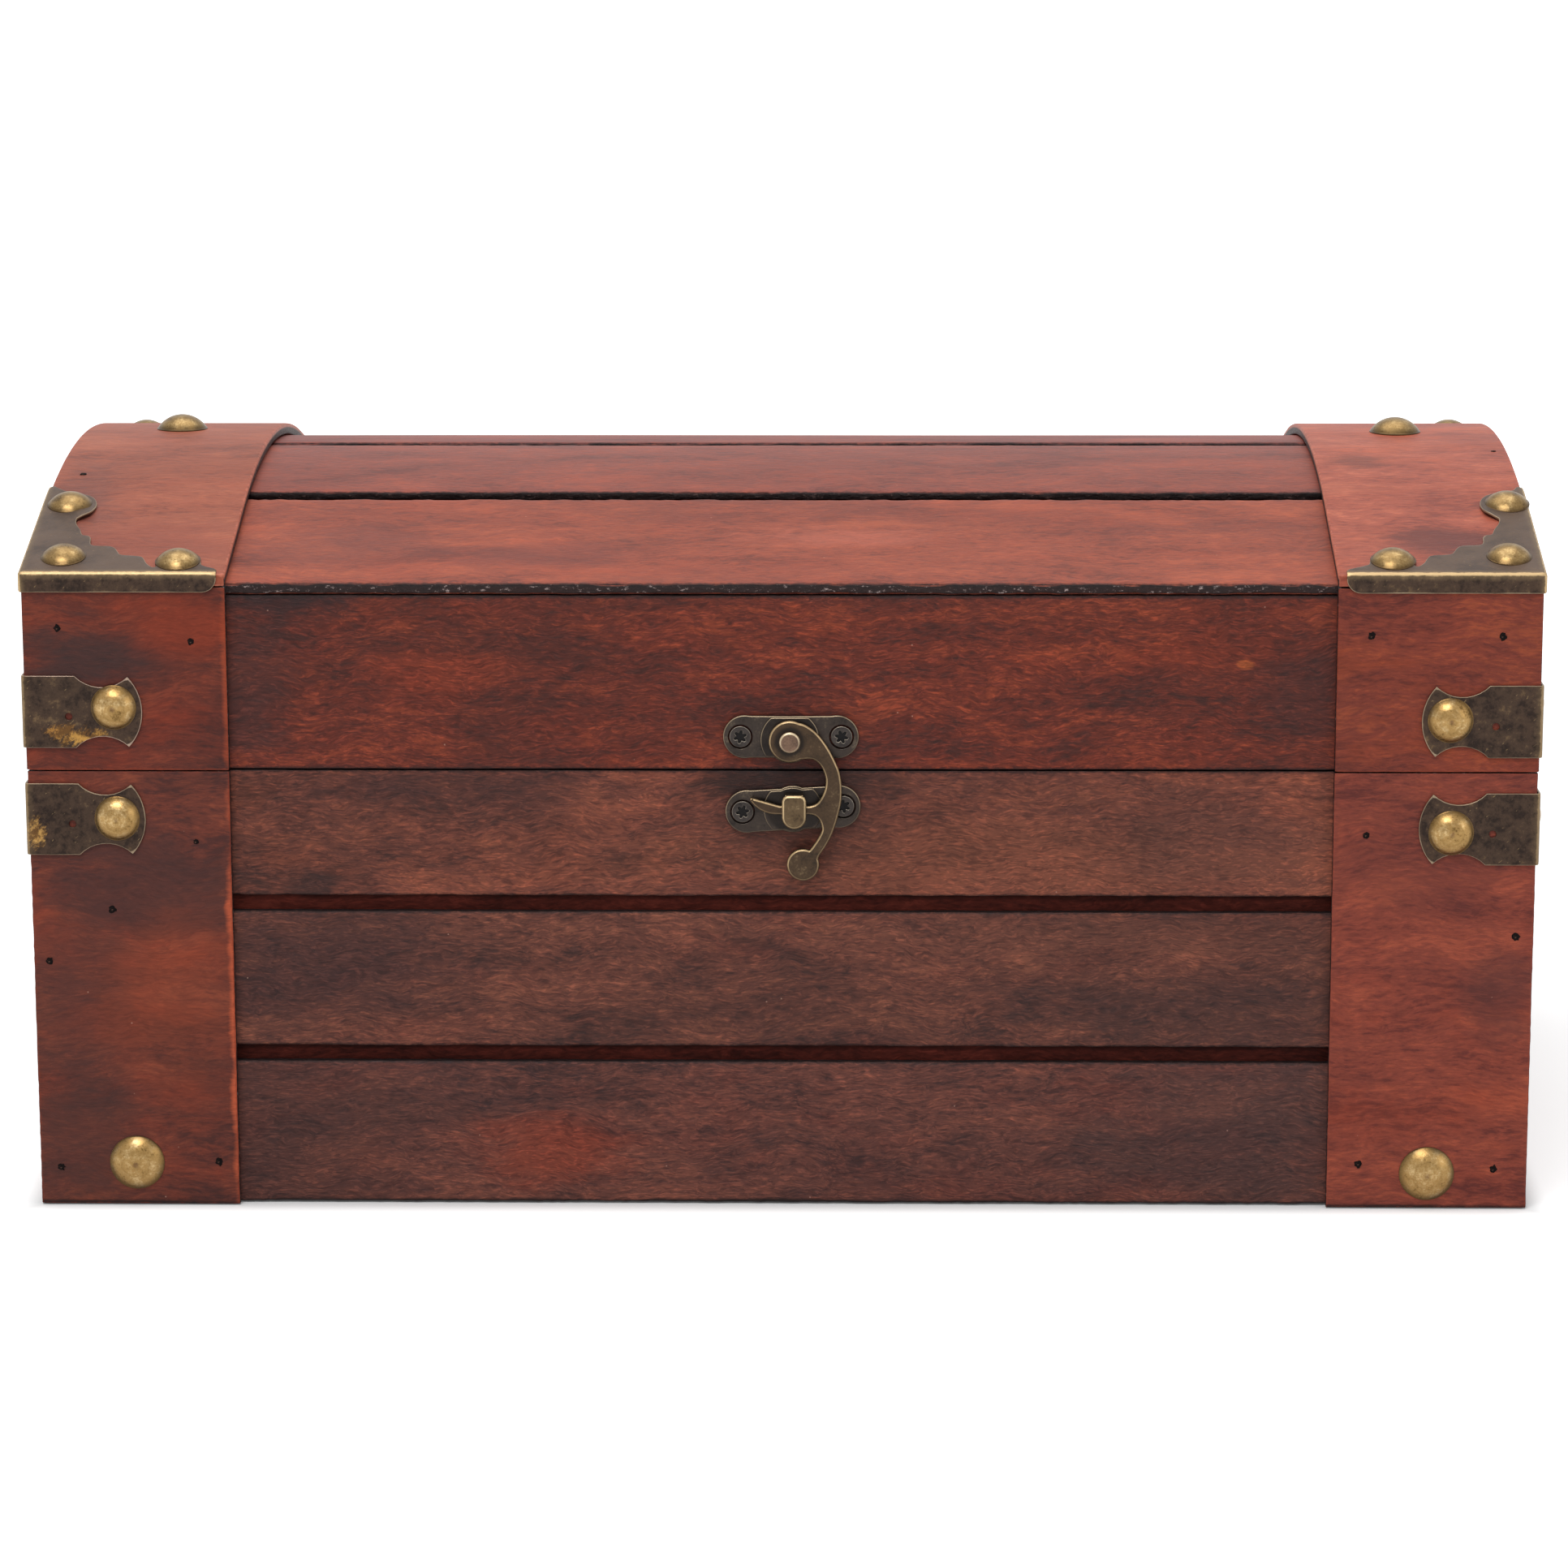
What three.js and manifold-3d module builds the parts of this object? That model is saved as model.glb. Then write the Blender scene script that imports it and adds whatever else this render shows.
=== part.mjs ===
// Wooden storage chest with a shallow domed lid, wooden straps, folded metal corners
// and a swing-hook latch.
// Millimetres. The front faces -Y, +X is to the right seen from the front, +Z is up.
// The origin is on the floor under the middle of the chest.

import * as THREE from 'three';
import { mergeVertices } from 'three/addons/utils/BufferGeometryUtils.js';
import Module from 'manifold-3d';

const wasm = await Module();
wasm.setup();

// Driving dimensions of the chest
const chestDepth = 180;
const lidWidth = 313.7;
const lidOverhang = 0.1;
const baseHeight = 93.3;
const splitGap = 0.4;
const lidWallHeight = 41.25;
const domeRise = 17.25;
const crownMeetShare = 0.309;

// Boards
const wallThick = 6;
const endThick = 8;
const bottomThick = 6;
const plankThick = 2.5;
const plankChamfer = 0.4;
const lowerPlankHeight = 30.9;
const middlePlankHeight = 29.2;
const plankGrooveWidth = 3.2;
const domePanelThick = 3;
const outerSlatLength = 43.4;
const slatGrooveWidth = 3.8;
const glueLine = 0.1;

// Straps
const strapWidth = 42.2;
const strapThick = 2;
const domeStrapThick = 2.7;
const strapChamfer = 0.3;

// Sheet metal at the corners
const sheetThick = 0.5;
const seatGap = 0.1;
const plateHeight = 15.2;
const plateLeg = 25.1;
const plateStraightLength = 11.2;
const plateWaistDistance = 16.8;
const plateWaistDepth = 2.4;
const plateTipDistance = 22.2;
const plateTipInset = 0.2;
const plateTackDistance = 19.2;
const plateHoleDistance = 9.8;
const plateHoleDrop = 1;
const nailHoleRadius = 0.7;
const bracketLength = 41.1;
const bracketDepth = 44;
const lipHeight = 4.2;
const lipRound = 3;

// Domed tacks
const tackRadius = 4.7;
const tackHeight = 2.4;
const footTackRadius = 5.75;
const footTackHeight = 2.4;
const topTackRadius = 5.6;
const topTackHeight = 3.2;
const tackSink = 0.4;

// Latch
const pivotX = 1.9;
const pivotAboveSplit = 6.6;
const latchPlateWidth = 28.2;
const latchPlateHeight = 9.1;
const latchPlateThick = 0.9;
const latchPlateBevel = 0.25;
const latchWaistInset = 0.45;
const latchPlateRise = 0.6;
const latchBossRadius = 4.95;
const latchStepRadius = 6.1;
const latchStepHeight = 0.4;
const latchPlateShift = 0.2;
const keeperPlateDrop = 14.7;
const keeperPlateShift = 0.6;
const screwSpacing = 21;
const screwHeadRadius = 2.25;
const screwHeadRise = 0.25;
const screwHeadSink = 0.5;
const screwShankRadius = 0.9;
const screwLength = 5;
const hookLength = 26;
const hookThick = 1.6;
const hookBevel = 0.35;
const hookEyeRadius = 4.25;
const hookTabRadius = 3.2;
const hookGap = 0.35;
const rivetRadius = 1.2;
const rivetHeadRadius = 2.2;
const rivetHeadHeight = 1.1;
const keeperShift = 0.9;
const keeperNeckWidth = 3.7;
const keeperNeckThick = 1.6;
const keeperTopDrop = 11;
const keeperHeadWidth = 5.1;
const keeperHeadHeight = 7.2;
const keeperHeadThick = 1.5;
const keeperBevel = 0.4;
const runningGap = 0.3;

// Butt hinges
const hingeSpread = 140;
const leafWidth = 24;
const leafHeight = 13;
const leafThick = 1;
const knuckleRadius = 2.1;
const middleKnuckle = 9;
const hingePinRadius = 0.9;
const pinHeadRadius = 1.6;
const pinHeadThick = 0.8;
const leafScrewRadius = 1.8;
const leafScrewHeight = 0.6;
const leafScrewSpacing = 14;

// Counts and small values for the faceting
const domeFacets = 20;
const shortFacetShare = 0.15;
const tackSides = 14;
const tackRings = 2;
const holeSides = 12;
const nailHoleSides = 6;
const arcSteps = 4;
const circleSteps = 8;
const hookSplineSteps = 2;
const overrun = 4;
const weldDistance = 0.0001;

// Places that follow the sizes, as shares of them
const lidPlateHeightShares = { left: 0.3, right: 0.258 };
const basePlateHeightShares = { left: 0.893, right: 0.875 };
const lidTackRiseShares = { left: 0.066, right: 0.023 };
const baseTackRiseShares = { left: 0.016, right: -0.046 };
const baseTackReachShares = { left: 1, right: 0.96 };
const footTackHeightShares = { left: 0.0975, right: 0.08 };
const footTackInsetShares = { left: 0.487, right: 0.501 };
const topTackDepthShares = { left: 0.028, right: 0 };
const topTackInsetShares = { left: 0.5, right: 0.526 };
const leafScrewHeightShare = 0.62;
const keeperTilt = THREE.MathUtils.degToRad(3.3);

// Bracket tacks and ornamental edge, as shares of the bracket's length along the front
// and over the dome, from the outer corner. The edge runs from the front leg's end, behind
// its tack and down the steps to the side leg's end. Left and right differ by a small shift.
const bracketTackShares = [
  [0.19, 0.185], [0.776, 0.136], [0.13, 0.789],
];
const bracketShiftShares = { left: [0.018, -0.008], right: [-0.018, 0.008] };
const bracketFrontEndShares = [[1, 0], [1, 0.032], [0.985, 0.048]];
const bracketEdgeShares = [
  [0.939, 0.07], [0.9, 0.095], [0.891, 0.136], [0.859, 0.214], [0.776, 0.245], [0.693, 0.214],
  [0.662, 0.141], [0.674, 0.086], [0.657, 0.068], [0.623, 0.107], [0.599, 0.164], [0.574, 0.189],
  [0.484, 0.201], [0.46, 0.232], [0.443, 0.268], [0.411, 0.298], [0.328, 0.309], [0.304, 0.336],
  [0.297, 0.395], [0.28, 0.42], [0.248, 0.434], [0.229, 0.491], [0.202, 0.55], [0.192, 0.607],
  [0.212, 0.63], [0.248, 0.666], [0.265, 0.72], [0.27, 0.789], [0.243, 0.864], [0.185, 0.909],
  [0.119, 0.925], [0.078, 0.948],
];
const bracketSideEndShares = [[0.046, 0.985], [0.032, 1], [0, 1]];

// The hook's outline, as shares of its length from pivot to finger tab, +X to the right
const hookOuterShares = [
  [0.06, 0.15], [0.142, 0.127], [0.235, 0.042], [0.319, -0.065], [0.404, -0.285], [0.423, -0.392],
  [0.396, -0.604], [0.35, -0.708], [0.27, -0.835], [0.214, -0.92], [0.19, -0.97],
];
const hookTailShares = [[0.1, -0.93], [0.16, -0.86], [0.2, -0.785], [0.242, -0.708], [0.246, -0.635]];
const hookProngLowShares = [[0.215, -0.608], [0.162, -0.588], [-0.115, -0.581], [-0.25, -0.523]];
const hookProngTipShares = [[-0.292, -0.504], [-0.315, -0.465]];
const hookProngTopShares = [[-0.096, -0.5], [0.05, -0.517], [0.146, -0.523]];
const hookInnerShares = [
  [0.173, -0.515], [0.227, -0.477], [0.281, -0.338], [0.281, -0.277], [0.258, -0.212],
  [0.215, -0.165], [0.162, -0.135], [0.112, -0.138], [0.04, -0.12],
];
const hookTabShares = [0.1, -1.02];

// Planes and heights worked out from the driving dimensions
const strapFaceY = chestDepth / 2;
const plankFaceY = strapFaceY - strapThick;
const wallFaceY = plankFaceY - plankThick;
const wallInnerY = wallFaceY - wallThick;
const lidHalf = lidWidth / 2;
const baseHalf = lidHalf - lidOverhang;
const lidBottomZ = baseHeight + splitGap;
const splitZ = baseHeight + splitGap / 2;
const arrisZ = lidBottomZ + lidWallHeight;

// The dome in section: flat flanks that would meet the crown's plane at domeMeetY, and an
// arc between them. Each layer is named by its radius in the arc.
const domeMeetY = strapFaceY * crownMeetShare;
const flankAngle = Math.atan2(domeRise, strapFaceY - domeMeetY);
const domeRadius = domeMeetY / Math.tan(flankAngle / 2);
const domeCentreZ = arrisZ + domeRise - domeRadius;
const facetAngle = (2 * flankAngle) / domeFacets;
const slatRadius = domeRadius - domeStrapThick;
const panelRadius = slatRadius - plankThick;
const frameRadius = panelRadius - domePanelThick;

// Materials
const material = (color, roughness, metalness) =>
  new THREE.MeshStandardMaterial({ color, roughness, metalness });
const carcassWood = material(0x5a2c22, 0.6, 0);
const plankWood = material(0x5c342c, 0.5, 0);
const slatWood = material(0x8a473b, 0.45, 0);
const strapWood = material(0x9c4f3c, 0.45, 0);
const bronze = material(0x5a5042, 0.45, 0.8);
const brass = material(0x9a7c40, 0.4, 0.9);

// Outlines in one plane are laid into the chest by these frames:
// (y, z) outlines run along +X, (x, z) outlines run towards the front, along -Y
const axisX = new THREE.Vector3(1, 0, 0);
const axisY = new THREE.Vector3(0, 1, 0);
const axisZ = new THREE.Vector3(0, 0, 1);
const alongXFrame = new THREE.Matrix4().makeBasis(axisY, axisZ, axisX);
const forwardFrame = new THREE.Matrix4().makeBasis(axisX, axisZ, axisY.clone().negate());

function polygon(points) {
  return new THREE.Shape(points.map((p) => new THREE.Vector2(...p)));
}

function rectangle(x0, y0, x1, y1) {
  return polygon([[x0, y0], [x1, y0], [x1, y1], [x0, y1]]);
}

// A facing board's section, with its two outer edges chamfered
function chamferedSection(back, face, low, high, chamfer) {
  const inward = Math.sign(back - face) * chamfer;
  return polygon([
    [back, low], [face + inward, low], [face, low + chamfer],
    [face, high - chamfer], [face + inward, high], [back, high],
  ]);
}

function extrude(shape, depth, bevel = 0, curveSegments = arcSteps) {
  const geometry = new THREE.ExtrudeGeometry(shape, {
    depth: depth - 2 * bevel,
    curveSegments,
    bevelEnabled: bevel > 0,
    bevelThickness: bevel,
    bevelSize: bevel,
    bevelOffset: -bevel,
    bevelSegments: 1,
  });
  return geometry.translate(0, 0, bevel);
}

// An outline in (y, z), from x0 to x1
function alongX(shape, x0, x1) {
  return extrude(shape, x1 - x0).applyMatrix4(alongXFrame).translate(x0, 0, 0);
}

// An outline in (x, z), from y = -back to y = -front, with front the larger
function towardsFront(shape, back, front, bevel, curveSegments) {
  return extrude(shape, front - back, bevel, curveSegments)
    .applyMatrix4(forwardFrame)
    .translate(0, -back, 0);
}

function alongZ(shape, z0, z1) {
  return extrude(shape, z1 - z0).translate(0, 0, z0);
}

// A round bar along Y, centred on (x, z), from y = -back to y = -front
function barForward(radius, x, z, back, front, sides = holeSides) {
  return new THREE.CylinderGeometry(radius, radius, front - back, sides)
    .translate(x, -(back + front) / 2, z);
}

function barAlongX(radius, x0, x1, y, z, sides = holeSides) {
  return new THREE.CylinderGeometry(radius, radius, x1 - x0, sides)
    .rotateZ(Math.PI / 2)
    .translate((x0 + x1) / 2, y, z);
}

// Solids for joining and cutting
function toSolid(geometry) {
  const bare = geometry.index ? geometry.toNonIndexed() : geometry.clone();
  bare.deleteAttribute('normal');
  bare.deleteAttribute('uv');
  const merged = mergeVertices(bare, weldDistance);
  const corners = merged.index.array;
  const kept = [];
  for (let i = 0; i < corners.length; i += 3) {
    const [a, b, c] = [corners[i], corners[i + 1], corners[i + 2]];
    if (a !== b && b !== c && c !== a) {
      kept.push(a, b, c);
    }
  }
  const vertProperties = merged.attributes.position.array;
  return new wasm.Manifold(
    new wasm.Mesh({ numProp: 3, vertProperties, triVerts: new Uint32Array(kept) }),
  );
}

function fromSolid(solid) {
  const mesh = solid.getMesh();
  const geometry = new THREE.BufferGeometry();
  geometry.setAttribute('position', new THREE.BufferAttribute(new Float32Array(mesh.vertProperties), 3));
  geometry.setIndex(new THREE.BufferAttribute(new Uint32Array(mesh.triVerts), 1));
  return geometry;
}

function join(first, ...others) {
  return fromSolid(others.reduce((sum, next) => sum.add(toSolid(next)), toSolid(first)));
}

function cut(first, ...tools) {
  return fromSolid(tools.reduce((rest, tool) => rest.subtract(toSolid(tool)), toSolid(first)));
}

function common(first, second) {
  return fromSolid(toSolid(first).intersect(toSolid(second)));
}

// The same piece on the other side: signs of -1 mirror it in X or in Y
function mirrored(geometry, xSign, ySign) {
  const copy = (geometry.index ? geometry.toNonIndexed() : geometry.clone()).scale(xSign, ySign, 1);
  if (xSign * ySign < 0) {
    const position = copy.attributes.position;
    const swap = new THREE.Vector3();
    const other = new THREE.Vector3();
    for (let i = 0; i < position.count; i += 3) {
      swap.fromBufferAttribute(position, i + 1);
      other.fromBufferAttribute(position, i + 2);
      position.setXYZ(i + 1, other.x, other.y, other.z);
      position.setXYZ(i + 2, swap.x, swap.y, swap.z);
    }
  }
  return copy;
}

// Places on the dome are arc angles from the vertical, towards +Y. They go on along the
// flanks, where each radian is one dome radius long.
const steepest = (angle) => THREE.MathUtils.clamp(angle, -flankAngle, flankAngle);
const cutAtAngle = (angle) => () => angle;
const cutAtY = (y) => (radius) => {
  const bend = radius * Math.sin(flankAngle);
  if (Math.abs(y) <= bend) {
    return Math.asin(y / radius);
  }
  return Math.sign(y) * (flankAngle + (Math.abs(y) - bend) / Math.cos(flankAngle) / domeRadius);
};

function domePoint(radius, angle) {
  const turn = steepest(angle);
  const along = (angle - turn) * domeRadius;
  return [
    radius * Math.sin(turn) + along * Math.cos(turn),
    domeCentreZ + radius * Math.cos(turn) - Math.abs(along) * Math.sin(flankAngle),
  ];
}

function arcHeight(radius, y) {
  return domePoint(radius, cutAtY(y)(radius))[1];
}

function domeNormal(angle) {
  return new THREE.Vector3(0, Math.sin(steepest(angle)), Math.cos(steepest(angle)));
}

function arcPoints(radius, from, to) {
  const nearest = shortFacetShare * facetAngle;
  const points = [domePoint(radius, from)];
  for (let k = -domeFacets / 2; k <= domeFacets / 2; k += 1) {
    const angle = k * facetAngle;
    if (angle - from > nearest && to - angle > nearest) {
      points.push(domePoint(radius, angle));
    }
  }
  points.push(domePoint(radius, to));
  return points;
}

function domeBand(inner, outer, from, to) {
  return polygon([
    ...arcPoints(outer, from(outer), to(outer)),
    ...arcPoints(inner, from(inner), to(inner)).reverse(),
  ]);
}

// A domed tack head standing on the plane z = 0, sunk a little into what carries it
function tack(radius, height, sink = tackSink) {
  const sphere = (radius ** 2 + height ** 2) / (2 * height);
  const rimAngle = Math.asin(radius / sphere);
  const profile = [new THREE.Vector2(0, -sink), new THREE.Vector2(radius, -sink)];
  for (let ring = 0; ring < tackRings; ring += 1) {
    const angle = rimAngle * (1 - ring / tackRings);
    profile.push(new THREE.Vector2(sphere * Math.sin(angle), height - sphere * (1 - Math.cos(angle))));
  }
  profile.push(new THREE.Vector2(0, height));
  return new THREE.LatheGeometry(profile, tackSides).rotateX(Math.PI / 2);
}

function placed(geometry, position, normal) {
  const turn = new THREE.Quaternion().setFromUnitVectors(axisZ, normal);
  return geometry.applyQuaternion(turn).translate(...position);
}

// The chest is an assembly of named meshes
const chest = new THREE.Group();
chest.name = 'wooden_storage_chest';

function add(name, geometry, finish) {
  const flat = geometry.index ? geometry.toNonIndexed() : geometry.clone();
  flat.computeVertexNormals();
  const mesh = new THREE.Mesh(flat, finish);
  mesh.name = name;
  chest.add(mesh);
}

const leftRight = [['left', 1], ['right', -1]];
const frontBack = [['front', 1], ['back', -1]];

// Base carcass: a bottom board and four walls, the long walls between the ends
function bottomBoard() {
  const halfX = baseHalf - endThick - glueLine;
  const halfY = wallInnerY - glueLine;
  return alongZ(rectangle(-halfX, -halfY, halfX, halfY), 0, bottomThick);
}

function baseWall() {
  const halfX = baseHalf - endThick - glueLine;
  return alongX(rectangle(-wallFaceY, 0, -wallInnerY, baseHeight), -halfX, halfX);
}

function baseEnd() {
  return alongX(rectangle(-wallFaceY, 0, wallFaceY, baseHeight), -baseHalf, -baseHalf + endThick);
}

// Three facing planks cover each long wall of the base
function facingPlank(low, high) {
  const back = -(wallFaceY + glueLine);
  return alongX(chamferedSection(back, -plankFaceY, low, high, plankChamfer), -baseHalf, baseHalf);
}

const middlePlankLow = lowerPlankHeight + plankGrooveWidth;
const upperPlankLow = middlePlankLow + middlePlankHeight + plankGrooveWidth;
const facingPlanks = [
  ['lower', 0, lowerPlankHeight],
  ['middle', middlePlankLow, middlePlankLow + middlePlankHeight],
  ['upper', upperPlankLow, baseHeight],
];

// A strap on a long wall, left front: a thin board with its long outer edges chamfered
function baseStrap(side) {
  const back = -(plankFaceY + glueLine);
  const section = [
    [-baseHalf, back], [-baseHalf, -strapFaceY + strapChamfer],
    [-baseHalf + strapChamfer, -strapFaceY], [-baseHalf + strapWidth - strapChamfer, -strapFaceY],
    [-baseHalf + strapWidth, -strapFaceY + strapChamfer], [-baseHalf + strapWidth, back],
  ];
  const footX = -baseHalf + strapWidth * footTackInsetShares[side];
  const foot = [footX, -strapFaceY, baseHeight * footTackHeightShares[side]];
  return join(
    alongZ(polygon(section), 0, baseHeight),
    placed(tack(footTackRadius, footTackHeight), foot, axisY.clone().negate()),
  );
}

// Lid carcass: long walls and arched ends under the bent panel
function lidWall() {
  const halfX = lidHalf - endThick - glueLine;
  const section = polygon([
    [-wallFaceY, lidBottomZ], [-wallInnerY, lidBottomZ],
    [-wallInnerY, arcHeight(frameRadius, wallInnerY)], [-wallFaceY, arcHeight(frameRadius, wallFaceY)],
  ]);
  return alongX(section, -halfX, halfX);
}

function lidEnd() {
  const side = cutAtY(wallFaceY)(frameRadius);
  const section = polygon([
    [wallFaceY, lidBottomZ], [-wallFaceY, lidBottomZ], ...arcPoints(frameRadius, -side, side),
  ]);
  return alongX(section, -lidHalf, -lidHalf + endThick);
}

function lidPlank() {
  const back = wallFaceY + glueLine;
  const section = polygon([
    [-back, lidBottomZ], [-plankFaceY + plankChamfer, lidBottomZ],
    [-plankFaceY, lidBottomZ + plankChamfer],
    [-plankFaceY, arcHeight(panelRadius, plankFaceY)], [-back, arcHeight(panelRadius, back)],
  ]);
  return alongX(section, -lidHalf, lidHalf);
}

function domePanel() {
  const band = domeBand(frameRadius + glueLine, panelRadius, cutAtY(-wallFaceY), cutAtY(wallFaceY));
  return alongX(band, -lidHalf, lidHalf);
}

// The slats lie on the bent panel: the outer two end flush with the planks
const slatEdgeAngle = cutAtY(plankFaceY)(slatRadius);
const outerSlatAngle = outerSlatLength / domeRadius;
const grooveAngle = slatGrooveWidth / domeRadius;
const slatEnds = [
  ['front', cutAtY(-plankFaceY), cutAtAngle(-slatEdgeAngle + outerSlatAngle)],
  ['upper_front', cutAtAngle(-slatEdgeAngle + outerSlatAngle + grooveAngle), cutAtAngle(-grooveAngle / 2)],
  ['upper_back', cutAtAngle(grooveAngle / 2), cutAtAngle(slatEdgeAngle - outerSlatAngle - grooveAngle)],
  ['back', cutAtAngle(slatEdgeAngle - outerSlatAngle), cutAtY(plankFaceY)],
];

function domeSlat(from, to) {
  return alongX(domeBand(panelRadius + glueLine, slatRadius, from, to), -lidHalf, lidHalf);
}

// Lid straps: a flat one on each long wall, and a bent one over the dome
function lidStrap() {
  const back = plankFaceY + glueLine;
  const section = polygon([
    [-back, lidBottomZ], [-strapFaceY, lidBottomZ],
    [-strapFaceY, arcHeight(slatRadius, strapFaceY)], [-back, arcHeight(slatRadius, back)],
  ]);
  return alongX(section, -lidHalf, -lidHalf + strapWidth);
}

function domeStrap(side) {
  const band = domeBand(slatRadius + glueLine, domeRadius, cutAtY(-strapFaceY), cutAtY(strapFaceY));
  const tackY = chestDepth * topTackDepthShares[side];
  const tackX = -lidHalf + strapWidth * topTackInsetShares[side];
  const angle = cutAtY(tackY)(domeRadius);
  const [y, z] = domePoint(domeRadius, angle);
  return join(
    alongX(band, -lidHalf, -lidHalf + strapWidth),
    placed(tack(topTackRadius, topTackHeight), [tackX, y, z], domeNormal(angle)),
  );
}

// A circle's arc from one point to another through a third, as points without the first
function arcThrough(start, via, end) {
  const [a, b, c] = [start, via, end].map((p) => new THREE.Vector2(...p));
  const twice = 2 * (a.x * (b.y - c.y) + b.x * (c.y - a.y) + c.x * (a.y - b.y));
  const [aa, bb, cc] = [a.lengthSq(), b.lengthSq(), c.lengthSq()];
  const centre = new THREE.Vector2(
    (aa * (b.y - c.y) + bb * (c.y - a.y) + cc * (a.y - b.y)) / twice,
    (aa * (c.x - b.x) + bb * (a.x - c.x) + cc * (b.x - a.x)) / twice,
  );
  const radius = centre.distanceTo(a);
  const angleOf = (p) => Math.atan2(p.y - centre.y, p.x - centre.x);
  const turn = (from, to) => Math.atan2(Math.sin(to - from), Math.cos(to - from));
  const first = turn(angleOf(a), angleOf(b));
  const sweep = first + turn(angleOf(b), angleOf(c));
  const points = [];
  for (let step = 1; step <= arcSteps; step += 1) {
    const angle = angleOf(a) + (sweep * step) / arcSteps;
    points.push([centre.x + radius * Math.cos(angle), centre.y + radius * Math.sin(angle)]);
  }
  return points;
}

// L-shaped corner plate: each leg is straight, then waisted, then ends in a shallow arc
function plateLegOutline() {
  const half = plateHeight / 2;
  const tip = [plateTipDistance, half - plateTipInset];
  const waist = [plateWaistDistance, half - plateWaistDepth];
  const upper = [[plateStraightLength, half], ...arcThrough([plateStraightLength, half], waist, tip)];
  const lower = upper.map(([x, z]) => [x, -z]).reverse();
  const end = arcThrough(tip, [plateLeg, 0], [plateTipDistance, -half + plateTipInset]).slice(0, -1);
  return polygon([[0, -half], [0, half], ...upper, ...end, ...lower]);
}

function cornerPlate(halfWidth, z, tackAt, tackRise) {
  const outerX = halfWidth + seatGap + sheetThick;
  const outerY = strapFaceY + seatGap + sheetThick;
  const outline = plateLegOutline();
  const frontLeg = towardsFront(outline, outerY - sheetThick, outerY).translate(-outerX, 0, z);
  const endLeg = alongX(outline, -outerX, -outerX + sheetThick).translate(0, -outerY, z);
  const holeZ = z - plateHoleDrop;
  const frontHole = barForward(
    nailHoleRadius, -outerX + plateHoleDistance, holeZ, strapFaceY, outerY + overrun, nailHoleSides,
  );
  const endHole = barAlongX(
    nailHoleRadius, -outerX - overrun, -halfWidth, -outerY + plateHoleDistance, holeZ, nailHoleSides,
  );
  const frontTack = [-outerX + tackAt, -outerY, z + tackRise];
  const endTack = [-outerX, -outerY + tackAt, z + tackRise];
  return join(
    cut(join(frontLeg, endLeg), frontHole, endHole),
    placed(tack(tackRadius, tackHeight), frontTack, axisY.clone().negate()),
    placed(tack(tackRadius, tackHeight), endTack, axisX.clone().negate()),
  );
}

// Folded corner bracket: a sheet that follows the dome strap, with a lip over the front
// edge and one over the end, a stepped inner edge, and three tacks
function bracketPoint([u, v], side) {
  const [du, dv] = bracketShiftShares[side];
  return [(u + du) * bracketLength, (v + dv) * bracketDepth];
}

function bracketOutline(side) {
  const atEnd = ([u, v]) => [u * bracketLength, v * bracketDepth];
  return polygon([
    [0, 0],
    ...bracketFrontEndShares.map(atEnd),
    ...bracketEdgeShares.map((share) => bracketPoint(share, side)),
    ...bracketSideEndShares.map(atEnd),
  ]);
}

function cornerBracket(side) {
  const outerX = lidHalf + seatGap + sheetThick;
  const outerY = strapFaceY + seatGap + sheetThick;
  const inner = domeRadius + seatGap;
  const outer = inner + sheetThick;
  const edgeAngle = cutAtY(outerY)(outer);
  const backAngle = -edgeAngle + bracketDepth / domeRadius;
  const edgeZ = arcHeight(outer, outerY);
  const [backY, backZ] = domePoint(outer, backAngle);
  const slope = Math.atan2(backZ - edgeZ, backY + outerY);
  const lipZ = edgeZ - lipHeight;

  // The sheet on the dome: a band cut to the ornamental outline, whose flat pattern lies
  // along the sheet's slope
  const band = domeBand(inner, outer, cutAtY(-outerY), cutAtAngle(backAngle));
  const sheet = alongX(band, -outerX, -outerX + bracketLength);
  const pattern = extrude(bracketOutline(side), 2 * overrun)
    .translate(0, 0, -overrun)
    .rotateX(slope)
    .translate(-outerX, -outerY, edgeZ);
  const top = common(sheet, pattern);

  // Front lip, with its free lower corner rounded
  const endX = -outerX + bracketLength;
  const lip = new THREE.Shape();
  lip.moveTo(-outerX, lipZ);
  lip.lineTo(endX - lipRound, lipZ);
  lip.absarc(endX - lipRound, lipZ + lipRound, lipRound, -Math.PI / 2, 0, false);
  lip.lineTo(endX, edgeZ);
  lip.lineTo(-outerX, edgeZ);
  const frontLip = towardsFront(lip, outerY - sheetThick, outerY);

  // End lip, which follows the arc and has the same rounded corner at its back
  const lowRadius = outer - lipHeight * Math.cos(flankAngle);
  const roundAngle = lipRound / domeRadius;
  const round = [];
  for (let step = 1; step <= arcSteps; step += 1) {
    const turn = (Math.PI / 2) * (step / arcSteps);
    const angle = backAngle - roundAngle * (1 - Math.cos(turn));
    round.push(domePoint(lowRadius + lipRound * (1 - Math.sin(turn)), angle));
  }
  const endBand = polygon([
    ...arcPoints(outer, -edgeAngle, backAngle),
    domePoint(lowRadius + lipRound, backAngle),
    ...round,
    ...arcPoints(lowRadius, cutAtY(-outerY)(lowRadius), backAngle - roundAngle).reverse().slice(1),
  ]);
  const endLip = alongX(endBand, -outerX, -outerX + sheetThick);

  const tacks = bracketTackShares.map((share) => {
    const [u, v] = bracketPoint(share, side);
    const angle = -edgeAngle + v / domeRadius;
    const [y, z] = domePoint(outer, angle);
    return placed(tack(tackRadius, tackHeight), [-outerX + u, y, z], domeNormal(angle));
  });
  return join(top, frontLip, endLip, ...tacks);
}

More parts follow.
